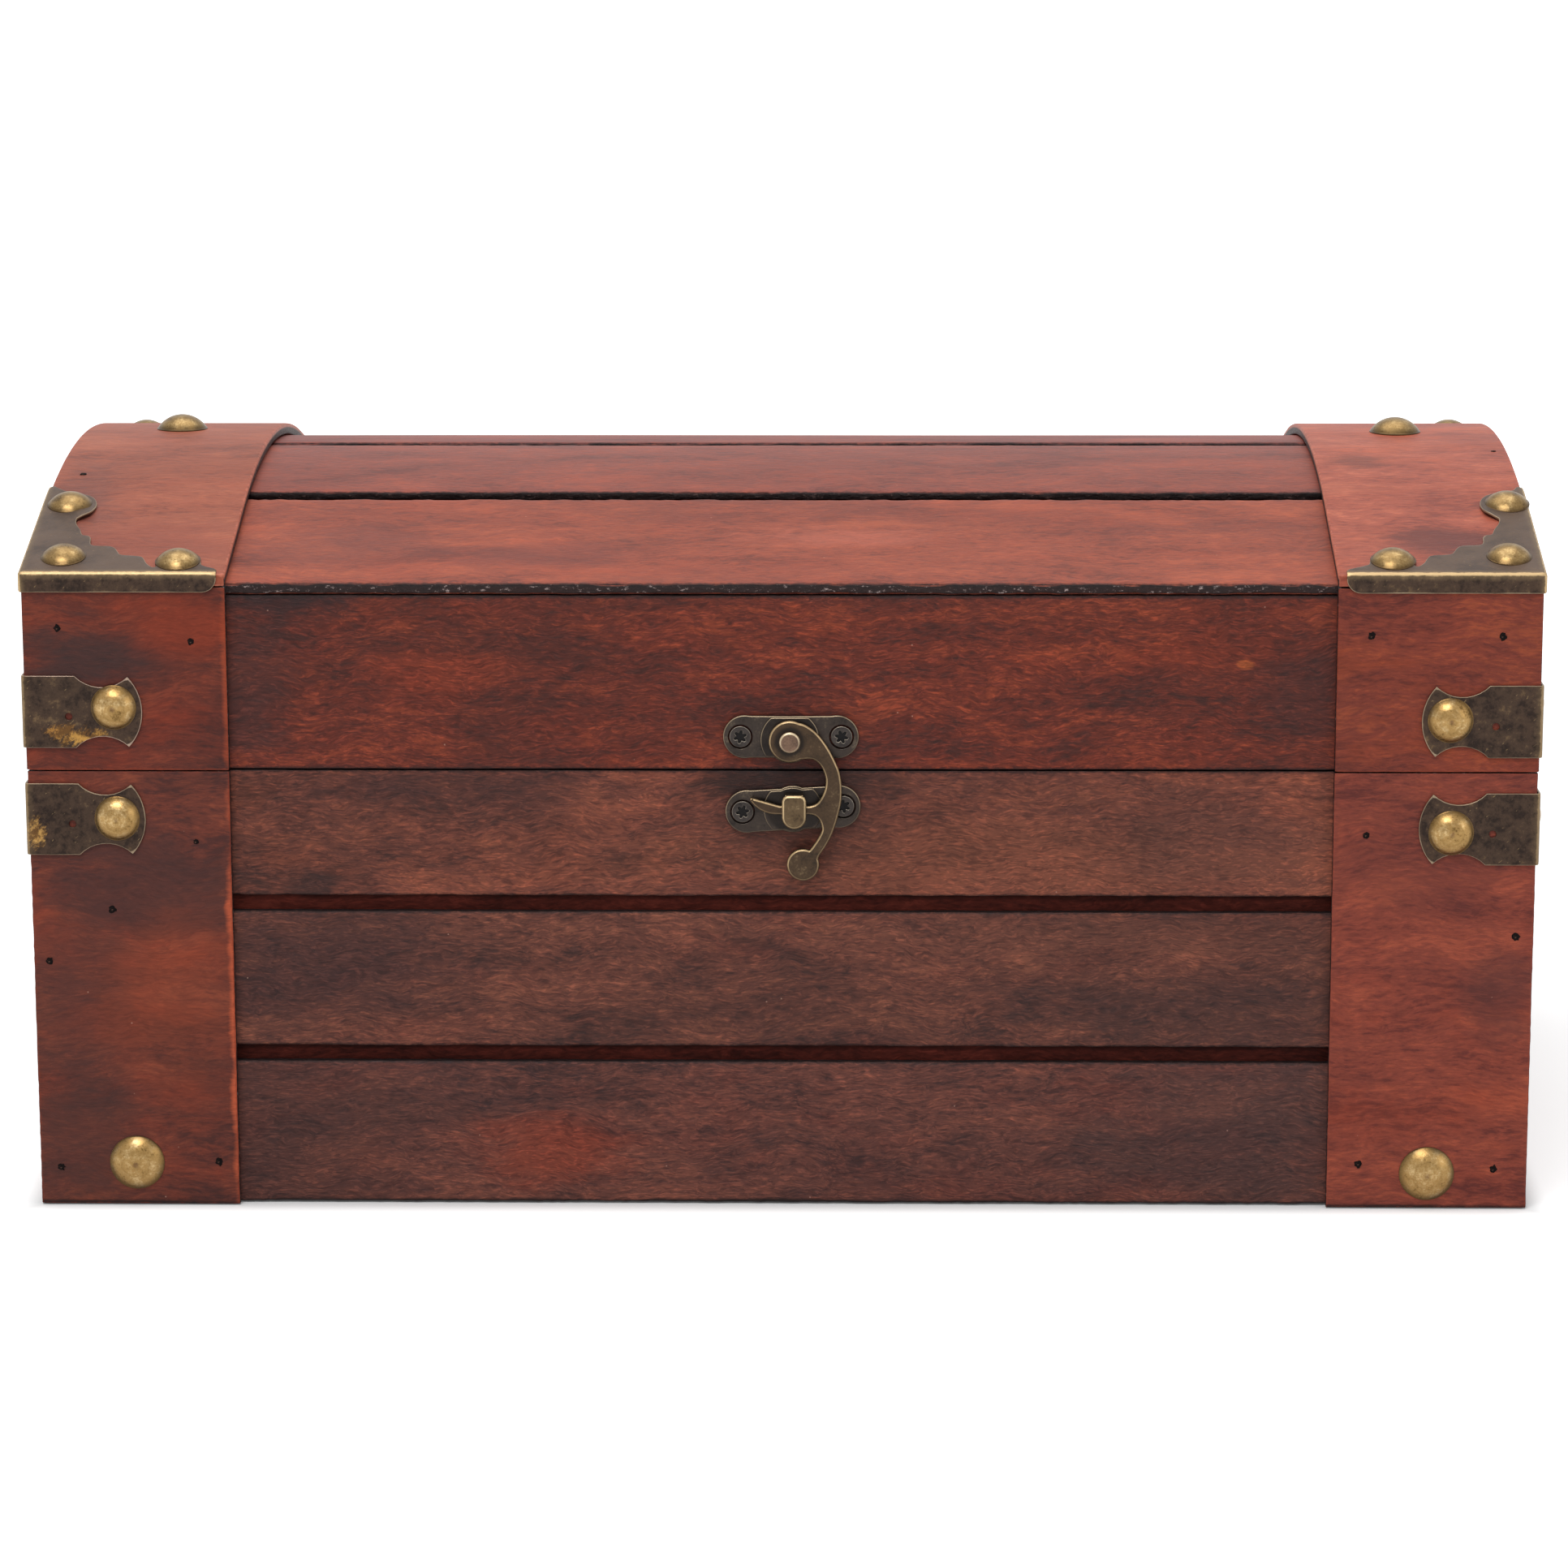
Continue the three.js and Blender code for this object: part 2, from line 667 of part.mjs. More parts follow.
// Latch: the plates' outline is two round lobes, a slightly lower waist and a round boss
const pivotZ = splitZ + pivotAboveSplit;
const plateBackY = plankFaceY + seatGap;
const plateFrontY = plateBackY + latchPlateThick;
const stepFrontY = plateFrontY + latchStepHeight;
const hookBackY = stepFrontY + hookGap;
const hookFrontY = hookBackY + hookThick;

function lobedOutline(bossX, bossZ) {
  const lobe = latchPlateHeight / 2;
  const waist = lobe - latchWaistInset;
  const lobeX = latchPlateWidth / 2 - lobe;
  const lobeAngle = Math.asin(waist / lobe);
  const topAngle = Math.asin(Math.min(1, (waist - bossZ) / latchBossRadius));
  const lowAngle = Math.asin(Math.min(1, (waist + bossZ) / latchBossRadius));
  const outline = new THREE.Shape();
  outline.absarc(lobeX, 0, lobe, -Math.PI + lobeAngle, Math.PI - lobeAngle, false);
  outline.absarc(bossX, bossZ, latchBossRadius, topAngle, Math.PI - topAngle, false);
  outline.absarc(-lobeX, 0, lobe, lobeAngle, 2 * Math.PI - lobeAngle, false);
  outline.absarc(bossX, bossZ, latchBossRadius, Math.PI + lowAngle, 2 * Math.PI - lowAngle, false);
  return outline;
}

// A latch plate round its own centre, with a round raised step about the boss
function steppedPlate(bossX, bossZ) {
  const outline = lobedOutline(bossX, bossZ);
  const sheet = towardsFront(outline, plateBackY, plateFrontY, latchPlateBevel);
  const step = barForward(latchStepRadius, bossX, bossZ, plateBackY + latchPlateBevel, stepFrontY, tackSides);
  const within = towardsFront(outline, plateBackY + latchPlateBevel, stepFrontY, latchPlateBevel);
  return join(sheet, common(step, within));
}

const latchPlateX = pivotX + latchPlateShift;
const latchPlateZ = pivotZ + latchPlateRise;
const keeperPlateX = pivotX + keeperPlateShift;
const keeperPlateZ = pivotZ - keeperPlateDrop;
const screwReachY = plateBackY - screwLength;

function screwPlaces(centreX, centreZ, tilt) {
  return [-1, 1].map((side) => {
    const along = (side * screwSpacing) / 2;
    return [centreX + along * Math.cos(tilt), centreZ + along * Math.sin(tilt)];
  });
}

const latchScrews = screwPlaces(latchPlateX, latchPlateZ, 0);
const keeperScrews = screwPlaces(keeperPlateX, keeperPlateZ, keeperTilt);

// A screw's pilot hole through a plate, a plank and part of the wall behind, and the
// recess for its head in the plate
function pilotHole([x, z]) {
  const radius = screwShankRadius + runningGap;
  return barForward(radius, x, z, screwReachY - runningGap, plateFrontY + overrun);
}

function headRecess([x, z]) {
  const floorY = plateFrontY - screwHeadSink - seatGap;
  return barForward(screwHeadRadius + runningGap, x, z, floorY, plateFrontY + overrun);
}

function screw([x, z]) {
  const head = placed(
    tack(screwHeadRadius, screwHeadRise, screwHeadSink), [0, -plateFrontY, 0], axisY.clone().negate(),
  );
  const shank = barForward(screwShankRadius, 0, 0, screwReachY, plateFrontY - screwHeadSink / 2);
  return join(head, shank).translate(x, 0, z);
}

function latchPlate() {
  const plate = steppedPlate(pivotX - latchPlateX, pivotZ - latchPlateZ)
    .translate(latchPlateX, 0, latchPlateZ);
  const rivetHole = barForward(
    rivetRadius + runningGap, pivotX, pivotZ, plankFaceY - overrun, stepFrontY + overrun,
  );
  return cut(plate, rivetHole, ...latchScrews.flatMap((place) => [pilotHole(place), headRecess(place)]));
}

function hookRivet() {
  const headBackY = hookFrontY + seatGap;
  const head = placed(
    tack(rivetHeadRadius, rivetHeadHeight), [0, -(headBackY + tackSink), 0], axisY.clone().negate(),
  );
  const shank = barForward(rivetRadius, 0, 0, plateBackY, headBackY + tackSink);
  return join(head, shank).translate(pivotX, 0, pivotZ);
}

// The keeper is a tongue bent out of its plate: a neck over the hook's prong and a round
// nose that hangs in front of it
function keeperPlate() {
  const plate = cut(
    steppedPlate(0, 0).rotateY(-keeperTilt).translate(keeperPlateX, 0, keeperPlateZ),
    ...keeperScrews.flatMap((place) => [pilotHole(place), headRecess(place)]),
  );
  const x = pivotX + keeperShift;
  const topZ = pivotZ - keeperTopDrop;
  const noseBackY = hookFrontY + runningGap;
  const noseFrontY = noseBackY + keeperHeadThick;
  const neckHalf = keeperNeckWidth / 2;
  const neck = towardsFront(
    rectangle(x - neckHalf, topZ - keeperNeckThick, x + neckHalf, topZ),
    plateBackY + latchPlateBevel, noseFrontY - keeperBevel,
  );
  const noseHalf = keeperHeadWidth / 2;
  const bottomZ = topZ - keeperHeadHeight;
  const nose = new THREE.Shape();
  nose.moveTo(x + noseHalf, topZ - keeperBevel);
  nose.lineTo(x + noseHalf - keeperBevel, topZ);
  nose.lineTo(x - noseHalf + keeperBevel, topZ);
  nose.lineTo(x - noseHalf, topZ - keeperBevel);
  nose.absarc(x, bottomZ + noseHalf, noseHalf, Math.PI, 2 * Math.PI, false);
  return join(plate, neck, towardsFront(nose, noseBackY, noseFrontY, keeperBevel));
}

// The hook: a round eye, a crescent bow, a prong that points left and a round finger tab
function latchHook() {
  const scaled = ([x, z]) => new THREE.Vector2(x * hookLength, z * hookLength);
  const smooth = (shares) => {
    const points = shares.map(scaled);
    return new THREE.SplineCurve(points).getPoints(hookSplineSteps * (points.length - 1));
  };
  const outline = new THREE.Shape([
    ...smooth(hookOuterShares),
    ...smooth(hookTailShares),
    ...hookProngLowShares.map(scaled),
    ...hookProngTipShares.map(scaled),
    ...hookProngTopShares.map(scaled),
    ...smooth(hookInnerShares),
  ]);
  const disc = (x, z, radius) => {
    const shape = new THREE.Shape();
    shape.absarc(x, z, radius, 0, 2 * Math.PI, false);
    return towardsFront(shape, hookBackY, hookFrontY, hookBevel, circleSteps);
  };
  const tabCentre = scaled(hookTabShares);
  const body = towardsFront(outline, hookBackY, hookFrontY, hookBevel);
  const eye = disc(0, 0, hookEyeRadius);
  const tab = disc(tabCentre.x, tabCentre.y, hookTabRadius);
  const bore = barForward(rivetRadius + runningGap, 0, 0, hookBackY - overrun, hookFrontY + overrun);
  return cut(join(body, eye, tab), bore).translate(pivotX, 0, pivotZ);
}

// Butt hinges: the leaves lie on the back planks and their knuckles stand on one axis
const leafBackY = plankFaceY + seatGap;
const leafFrontY = leafBackY + leafThick;
const hingeAxisY = leafBackY + knuckleRadius;
const leafClear = knuckleRadius + runningGap;

// One leaf round x = 0, above the axis (up = 1) or below it (up = -1), with knuckles over
// the given stretches
function hingeLeaf(up, stretches) {
  const halfWidth = leafWidth / 2;
  const plate = new THREE.BoxGeometry(leafWidth, leafThick, leafHeight)
    .translate(0, (leafBackY + leafFrontY) / 2, up * (leafClear + leafHeight / 2));
  const tongueHeight = leafClear + leafThick;
  const knuckles = stretches.flatMap(([x0, x1]) => [
    new THREE.BoxGeometry(x1 - x0, leafThick, tongueHeight)
      .translate((x0 + x1) / 2, (leafBackY + leafFrontY) / 2, (up * tongueHeight) / 2),
    barAlongX(knuckleRadius, x0, x1, hingeAxisY, 0),
  ]);
  const screwZ = up * (leafClear + leafHeight * leafScrewHeightShare);
  const screws = [-1, 1].map((side) =>
    placed(tack(leafScrewRadius, leafScrewHeight), [(side * leafScrewSpacing) / 2, leafFrontY, screwZ], axisY));
  const bore = barAlongX(
    hingePinRadius + runningGap, -halfWidth - overrun, halfWidth + overrun, hingeAxisY, 0,
  );
  return cut(join(plate, ...knuckles, ...screws), bore).translate(0, 0, splitZ);
}

function hingePin() {
  const reach = leafWidth / 2 + seatGap;
  return join(
    barAlongX(hingePinRadius, -reach - pinHeadThick, reach + pinHeadThick, hingeAxisY, splitZ),
    barAlongX(pinHeadRadius, -reach - pinHeadThick, -reach, hingeAxisY, splitZ),
    barAlongX(pinHeadRadius, reach, reach + pinHeadThick, hingeAxisY, splitZ),
  );
}

const middleHalf = middleKnuckle / 2;
const outerKnuckles = [
  [-leafWidth / 2, -middleHalf - runningGap],
  [middleHalf + runningGap, leafWidth / 2],
];

// Base
const drilled = keeperScrews.map(pilotHole);
add('bottom_board', bottomBoard(), carcassWood);
add('base_front_wall', cut(baseWall(), ...drilled), carcassWood);
add('base_back_wall', mirrored(baseWall(), 1, -1), carcassWood);
add('base_left_end', baseEnd(), carcassWood);
add('base_right_end', mirrored(baseEnd(), -1, 1), carcassWood);
for (const [level, low, high] of facingPlanks) {
  const plank = facingPlank(low, high);
  const front = level === 'upper' ? cut(plank, ...drilled) : plank;
  add(`front_plank_${level}`, front, plankWood);
  add(`back_plank_${level}`, mirrored(plank, 1, -1), plankWood);
}
for (const [side, xSign] of leftRight) {
  for (const [face, ySign] of frontBack) {
    add(`base_${face}_strap_${side}`, mirrored(baseStrap(side), xSign, ySign), strapWood);
    const plate = cornerPlate(
      baseHalf, baseHeight * basePlateHeightShares[side],
      plateTackDistance * baseTackReachShares[side], plateHeight * baseTackRiseShares[side],
    );
    add(`base_corner_plate_${face}_${side}`, mirrored(plate, xSign, ySign), bronze);
  }
}
add('keeper_plate', keeperPlate(), bronze);
add('keeper_screw_left', screw(keeperScrews[0]), bronze);
add('keeper_screw_right', screw(keeperScrews[1]), bronze);

// Lid
const lidDrilled = latchScrews.map(pilotHole);
add('lid_front_wall', cut(lidWall(), ...lidDrilled), carcassWood);
add('lid_back_wall', mirrored(lidWall(), 1, -1), carcassWood);
add('lid_left_end', lidEnd(), carcassWood);
add('lid_right_end', mirrored(lidEnd(), -1, 1), carcassWood);
add('lid_front_plank', cut(lidPlank(), ...lidDrilled), plankWood);
add('lid_back_plank', mirrored(lidPlank(), 1, -1), plankWood);
add('dome_panel', domePanel(), carcassWood);
for (const [place, from, to] of slatEnds) {
  add(`dome_slat_${place}`, domeSlat(from, to), slatWood);
}
for (const [side, xSign] of leftRight) {
  add(`dome_strap_${side}`, mirrored(domeStrap(side), xSign, 1), strapWood);
  for (const [face, ySign] of frontBack) {
    add(`lid_${face}_strap_${side}`, mirrored(lidStrap(), xSign, ySign), strapWood);
    add(`corner_bracket_${face}_${side}`, mirrored(cornerBracket(side), xSign, ySign), bronze);
    const plate = cornerPlate(
      lidHalf, lidBottomZ + lidWallHeight * lidPlateHeightShares[side],
      plateTackDistance, plateHeight * lidTackRiseShares[side],
    );
    add(`lid_corner_plate_${face}_${side}`, mirrored(plate, xSign, ySign), bronze);
  }
}
add('latch_plate', latchPlate(), bronze);
add('latch_screw_left', screw(latchScrews[0]), bronze);
add('latch_screw_right', screw(latchScrews[1]), bronze);
add('hook_rivet', hookRivet(), brass);

// Hook
add('latch_hook', latchHook(), brass);

// Hinges
for (const [side, xSign] of leftRight) {
  const x = (-xSign * hingeSpread) / 2;
  add(`hinge_base_leaf_${side}`, hingeLeaf(-1, outerKnuckles).translate(x, 0, 0), bronze);
  add(`hinge_lid_leaf_${side}`, hingeLeaf(1, [[-middleHalf, middleHalf]]).translate(x, 0, 0), bronze);
  add(`hinge_pin_${side}`, hingePin().translate(x, 0, 0), bronze);
}

export default chest;
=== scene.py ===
"""Looks of the wooden storage chest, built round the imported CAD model."""
import itertools
import math

import bmesh
import bpy
import numpy as np
from mathutils import Matrix, Vector
from mathutils.geometry import delaunay_2d_cdt


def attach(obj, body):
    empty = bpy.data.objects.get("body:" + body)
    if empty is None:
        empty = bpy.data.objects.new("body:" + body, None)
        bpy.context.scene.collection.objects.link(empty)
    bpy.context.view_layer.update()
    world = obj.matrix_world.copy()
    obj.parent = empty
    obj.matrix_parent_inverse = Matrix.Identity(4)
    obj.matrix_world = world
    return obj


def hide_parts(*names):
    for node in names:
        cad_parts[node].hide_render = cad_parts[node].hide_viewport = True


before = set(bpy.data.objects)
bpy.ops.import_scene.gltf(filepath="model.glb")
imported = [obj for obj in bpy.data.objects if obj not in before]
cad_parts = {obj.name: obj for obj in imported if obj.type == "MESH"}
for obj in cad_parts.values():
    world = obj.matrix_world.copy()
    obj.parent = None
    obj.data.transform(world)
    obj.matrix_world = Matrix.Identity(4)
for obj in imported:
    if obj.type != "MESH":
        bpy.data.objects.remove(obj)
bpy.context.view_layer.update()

MM = 0.001

# The chest's sizes in millimetres, as in the CAD
DEPTH = 180.0
LID_HALF = 156.85
BASE_HALF = 156.75
BASE_HEIGHT = 93.3
SPLIT_GAP = 0.4
WALL_HEIGHT = 41.25
DOME_RISE = 17.25
CROWN_SHARE = 0.309
STRAP_FACE = 90.0
PLANK_FACE = 88.0
WALL_FACE = 85.5
STRAP_WIDTH = 42.2
END_THICK = 8.0
OUTER_SLAT = 43.4
SLAT_GROOVE = 3.8
GLUE = 0.1
PIVOT_X = 1.9

# Lid and base come nearer to each other than in the CAD, by this much each
SEAM = 0.1

# Places that follow from the sizes
LID_BOTTOM = BASE_HEIGHT + SPLIT_GAP
SPLIT_Z = BASE_HEIGHT + SPLIT_GAP / 2
ARRIS_Z = LID_BOTTOM + WALL_HEIGHT
PIVOT_Z = SPLIT_Z + 6.6
MEET_Y = STRAP_FACE * CROWN_SHARE
FLANK = math.atan2(DOME_RISE, STRAP_FACE - MEET_Y)
DOME_R = MEET_Y / math.tan(FLANK / 2)
DOME_Z = ARRIS_Z + DOME_RISE - DOME_R
SLAT_R = DOME_R - 2.7
PANEL_R = SLAT_R - 2.5
FRAME_R = PANEL_R - 3.0

SIDES = (("left", -1), ("right", 1))
FACES = (("front", -1), ("back", 1))


# Places on the dome, as in the CAD: angles go on along the flat flanks
def dome_angle(y, radius):
    bend = radius * math.sin(FLANK)
    if abs(y) <= bend:
        return math.asin(y / radius)
    return math.copysign(FLANK + (abs(y) - bend) / math.cos(FLANK) / DOME_R, y)


def dome_point(radius, angle):
    turn = max(-FLANK, min(FLANK, angle))
    along = (angle - turn) * DOME_R
    return (
        radius * math.sin(turn) + along * math.cos(turn),
        DOME_Z + radius * math.cos(turn) - abs(along) * math.sin(FLANK),
    )


def dome_height(radius, y):
    return dome_point(radius, dome_angle(y, radius))[1]


def dome_normal(angle):
    turn = max(-FLANK, min(FLANK, angle))
    return Vector((0.0, math.sin(turn), math.cos(turn)))


# Smooth lattice noise from 0 to 1, the same in every run
def lattice(i, seed):
    h = (i[:, 0] * 73856093) ^ (i[:, 1] * 19349663) ^ (i[:, 2] * 83492791) ^ (seed * 2654435761)
    h = (h ^ (h >> 13)) * 1274126177 & 0xFFFFFFFF
    h = (h ^ (h >> 16)) * 2246822519 & 0xFFFFFFFF
    return ((h ^ (h >> 15)) & 0xFFFFFF) / float(0xFFFFFF)


def grain_noise(points, cells, seed):
    q = points * np.array(cells) + 4096.0
    i = np.floor(q).astype(np.int64)
    f = q - i
    f = f * f * (3 - 2 * f)
    total = np.zeros(len(q))
    for corner in np.ndindex(2, 2, 2):
        weight = np.ones(len(q))
        for axis in range(3):
            weight *= f[:, axis] if corner[axis] else 1 - f[:, axis]
        total += weight * lattice(i + np.array(corner), seed)
    return total


# Objects and meshes
def linked(name, data):
    obj = bpy.data.objects.new(name, data)
    bpy.context.scene.collection.objects.link(obj)
    return obj


def new_object(name, mesh, body, material=None, node=None, matrix=None):
    """A visible piece on a body; node is the CAD piece that it stands for."""
    obj = linked(name, mesh)
    if material is not None:
        mesh.materials.clear()
        mesh.materials.append(material)
    if matrix is not None:
        obj.matrix_world = matrix
    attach(obj, body)
    if node:
        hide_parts(node)
    return obj


def standing(place, normal):
    """Where a piece goes whose own +Z points away from a surface."""
    turn = Vector((0, 0, 1)).rotation_difference(Vector(normal)).to_matrix().to_4x4()
    return Matrix.Translation(Vector(place) * MM) @ turn


def set_values(mesh, name, values):
    attribute = mesh.attributes.get(name) or mesh.attributes.new(name, "FLOAT", "POINT")
    attribute.data.foreach_set("value", np.asarray(values, np.float32))


def smooth(mesh, degrees):
    """Smooth shading, with sharp edges over this angle."""
    mesh.shade_smooth()
    mesh.set_sharp_from_angle(angle=math.radians(degrees))


def soft_edges(obj, name, width, degrees):
    """Round edges of so many mm where faces meet at more than this angle."""
    bevel = obj.modifiers.new(name, "BEVEL")
    bevel.width = width * MM
    bevel.segments = 2
    bevel.limit_method = "ANGLE"
    bevel.angle_limit = math.radians(degrees)


def as_mesh(name, work):
    mesh = bpy.data.meshes.new(name)
    work.to_mesh(mesh)
    work.free()
    return mesh


def turns(count):
    return [2 * math.pi * k / count for k in range(count)]


def ringed(name, rings):
    """A closed mesh through rings of points in mm, flat at both ends."""
    work = bmesh.new()
    loops = [[work.verts.new([v * MM for v in p]) for p in ring] for ring in rings]
    for low, high in zip(loops, loops[1:]):
        for k in range(len(low)):
            after = (k + 1) % len(low)
            work.faces.new([low[k], low[after], high[after], high[k]])
    work.faces.new(loops[0][::-1])
    work.faces.new(loops[-1])
    bmesh.ops.recalc_face_normals(work, faces=work.faces)
    return as_mesh(name, work)


def domed(name, rings, top, material, floor):
    """A smooth cap from rings of points in mm, from the foot up to a middle at height top."""
    sides = len(rings[0])
    verts = [tuple(v * MM for v in p) for ring in rings for p in ring] + [(0, 0, top * MM)]
    faces = []
    for first in range(0, (len(rings) - 1) * sides, sides):
        for k in range(sides):
            a, b = first + k, first + (k + 1) % sides
            faces.append((a, b, b + sides, a + sides))
    last = (len(rings) - 1) * sides
    faces += [(last + k, last + (k + 1) % sides, len(verts) - 1) for k in range(sides)]
    if floor:
        faces.append(tuple(range(sides))[::-1])
    mesh = bpy.data.meshes.new(name)
    mesh.from_pydata(verts, [], faces)
    mesh.materials.append(material)
    mesh.shade_smooth()
    return mesh


# Boards: a section with softened corners, swept along X or Z
SECTION_STEP = 4.0
board_seeds = itertools.count(100, 3)


def graded(length, from_corner, to_corner):
    """Places along a side of a section, closer to each other near its real corners."""
    near = (0.35, 0.9, 1.8)
    cuts = [d for d in near if from_corner and d < length / 2]
    ends = [length - d for d in near if to_corner and d < length / 2]
    low = cuts[-1] if cuts else 0.0
    high = ends[-1] if ends else length
    count = max(1, math.ceil((high - low) / SECTION_STEP))
    middle = [low + (high - low) * k / count for k in range(1, count)]
    return cuts + middle + ends[::-1]


def section_loop(corners):
    """Points, outward normals, distances to the nearest real corner and its roughness."""
    points = [Vector(c[:2]) for c in corners]
    soft = [c[2] for c in corners]
    area = sum(p.x * q.y - q.x * p.y for p, q in zip(points, points[1:] + points[:1]))
    if area < 0:
        points.reverse()
        soft.reverse()
    chain = []
    count = len(points)
    for k in range(count):
        here, r = points[k], soft[k]
        if r <= 0:
            chain.append((here, False))
            continue
        before = (points[k - 1] - here).normalized()
        after = (points[(k + 1) % count] - here).normalized()
        half = before.angle(after) / 2
        reach = r / math.tan(half)
        centre = here + (before + after).normalized() * (r / math.sin(half))
        a, b = here + before * reach - centre, here + after * reach - centre
        turn = a.angle_signed(b)
        for part in range(4):
            chain.append((centre + Matrix.Rotation(-turn * part / 3, 2) @ a, True))
    loop = []
    for (p, hard), (q, next_hard) in zip(chain, chain[1:] + chain[:1]):
        loop.append(p)
        length = (q - p).length
        if length > 0.8:
            loop += [p.lerp(q, d / length) for d in graded(length, hard, next_hard)]
    ring = np.array([tuple(p) for p in loop])
    ahead, behind = np.roll(ring, -1, 0) - ring, ring - np.roll(ring, 1, 0)
    ahead /= np.linalg.norm(ahead, axis=1)[:, None]
    behind /= np.linalg.norm(behind, axis=1)[:, None]
    along = ahead + behind
    along /= np.linalg.norm(along, axis=1)[:, None]
    normals = np.stack([along[:, 1], -along[:, 0]], 1)
    real = np.array([tuple(p) for p, r in zip(points, soft) if r > 0])
    apart = np.linalg.norm(ring[:, None] - real[None], axis=2)
    rough = np.array([r for r in soft if r > 0])[apart.argmin(1)] / 0.4
    return ring, normals, apart.min(1), np.minimum(rough, 1.0)


def cap(ring):
    """Triangles that fill a section, also one that is bent."""
    made = delaunay_2d_cdt([Vector(p) for p in ring], [], [list(range(len(ring)))], 1, 1e-6)
    return [tuple(made[3][i][0] for i in f) for f in made[2]]


def board(name, body, node, corners, start, end, material, tear, sway=0.06,
          axis="X", station=1.3, ends=0.35, field=False):
    """A board from start to end, with its arrises torn and its faces swayed by so many mm.

    station is the distance of the rings and ends the softening of both ends. field: the
    ends are the board's broad faces, so they get rings of their own."""
    seed = next(board_seeds)
    ring, normals, gap, rough = section_loop(corners)
    inner = [d for d in (0.35, 0.9) if d < (end - start) / 3]
    count = max(2, round((end - start - 2 * inner[-1] - 2 * ends) / station))
    low, high = start + ends + inner[-1], end - ends - inner[-1]
    stations = [(start, ends), (start + 0.3 * ends, 0.3 * ends), (start + ends, 0.0)]
    stations += [(start + ends + d, 0.0) for d in inner[:-1]]
    stations += [(low + (high - low) * k / count, 0.0) for k in range(count + 1)]
    stations += [(end - ends - d, 0.0) for d in inner[:-1][::-1]]
    stations += [(end - ends, 0.0), (end - 0.3 * ends, 0.3 * ends), (end, ends)]
    n, m = len(ring), len(stations)
    rings = np.concatenate([ring - normals * inset for _, inset in stations])
    along = np.repeat([t for t, _ in stations], n)
    full = np.column_stack([along, rings])
    out = np.column_stack([np.zeros(n * m), np.tile(normals, (m, 1))])
    to_end = np.minimum(along - start, end - along)
    to_corner = np.tile(gap, m)
    fine = grain_noise(full, (1 / 0.9, 1 / 1.6, 1 / 1.6), seed)
    coarse = grain_noise(full, (1 / 6.0, 1 / 9.0, 1 / 9.0), seed + 7)
    slow = grain_noise(full, (1 / 38.0, 1 / 26.0, 1 / 26.0), seed + 11)
    torn = np.clip(fine * 0.6 + coarse * 0.55 - 0.36, 0, 1) / 0.64
    near = np.tile(rough, m) * np.exp(-((to_corner / 0.55) ** 2))
    near += ends * np.exp(-((to_end / 0.5) ** 2))
    full -= out * (tear * np.clip(near, 0, 1) * torn + sway * slow)[:, None]
    arris = np.minimum(to_corner, to_end + 0.25)
    low_rings, high_rings = [0], [(m - 1) * n]
    if field:
        to_middle = ring.mean(0) - ring
        to_middle /= np.linalg.norm(to_middle, axis=1)[:, None]
        for inset in (0.8, 2.0, 6.0):
            inner_ring = ring + to_middle * (inset + ends)
            for place, chain in ((start, low_rings), (end, high_rings)):
                chain.append(len(full))
                full = np.concatenate([full, np.column_stack([np.full(n, place), inner_ring])])
                arris = np.concatenate([arris, np.full(n, 0.25 + inset)])
    places = full if axis == "X" else full[:, [1, 2, 0]]
    k = np.arange(n)
    after = (k + 1) % n
    bands = [(j * n, (j + 1) * n) for j in range(m - 1)]
    bands += list(zip(low_rings, low_rings[1:])) + list(zip(high_rings, high_rings[1:]))
    quads = [np.column_stack([a + k, a + after, b + after, b + k]) for a, b in bands]
    faces = [tuple(f) for f in np.concatenate(quads).tolist()]
    fill = cap(ring)
    faces += [tuple(low_rings[-1] + i for i in f[::-1]) for f in fill]
    faces += [tuple(high_rings[-1] + i for i in f) for f in fill]
    mesh = bpy.data.meshes.new(name)
    mesh.from_pydata((places * MM).tolist(), [], faces)
    work = bmesh.new()
    work.from_mesh(mesh)
    bmesh.ops.recalc_face_normals(work, faces=work.faces)
    work.to_mesh(mesh)
    work.free()
    set_values(mesh, "arris", arris)
    smooth(mesh, 50)
    return new_object(name, mesh, body, material, node)


def rect(a0, b0, a1, b1, soft, top=None):
    """Corners of a section; top is the softening of the two upper ones."""
    top = soft if top is None else top
    return [(a0, b0, soft), (a1, b0, soft), (a1, b1, top), (a0, b1, top)]


def dome_arc(radius, start, end):
    count = max(2, math.ceil(abs(end - start) * DOME_R / 2.2))
    return [dome_point(radius, start + (end - start) * k / count) for k in range(count + 1)]


def band(inner, outer, start, end, soft):
    """Section of a board bent to the dome; start and end give an angle for a radius."""
    top = dome_arc(outer, start(outer), end(outer))
    low = dome_arc(inner, end(inner), start(inner))
    corners = [(*p, 0.0) for p in top + low]
    for k in (0, len(top) - 1, len(top), len(corners) - 1):
        corners[k] = (*corners[k][:2], soft)
    return corners


def at_y(y):
    return lambda radius: dome_angle(y, radius)


def at_angle(angle):
    return lambda radius: angle


# Material trees; colours are written as 0 to 255
def srgb(rgb):
    shares = [c / 255 for c in rgb]
    return (*(c / 12.92 if c <= 0.04045 else ((c + 0.055) / 1.055) ** 2.4 for c in shares), 1.0)


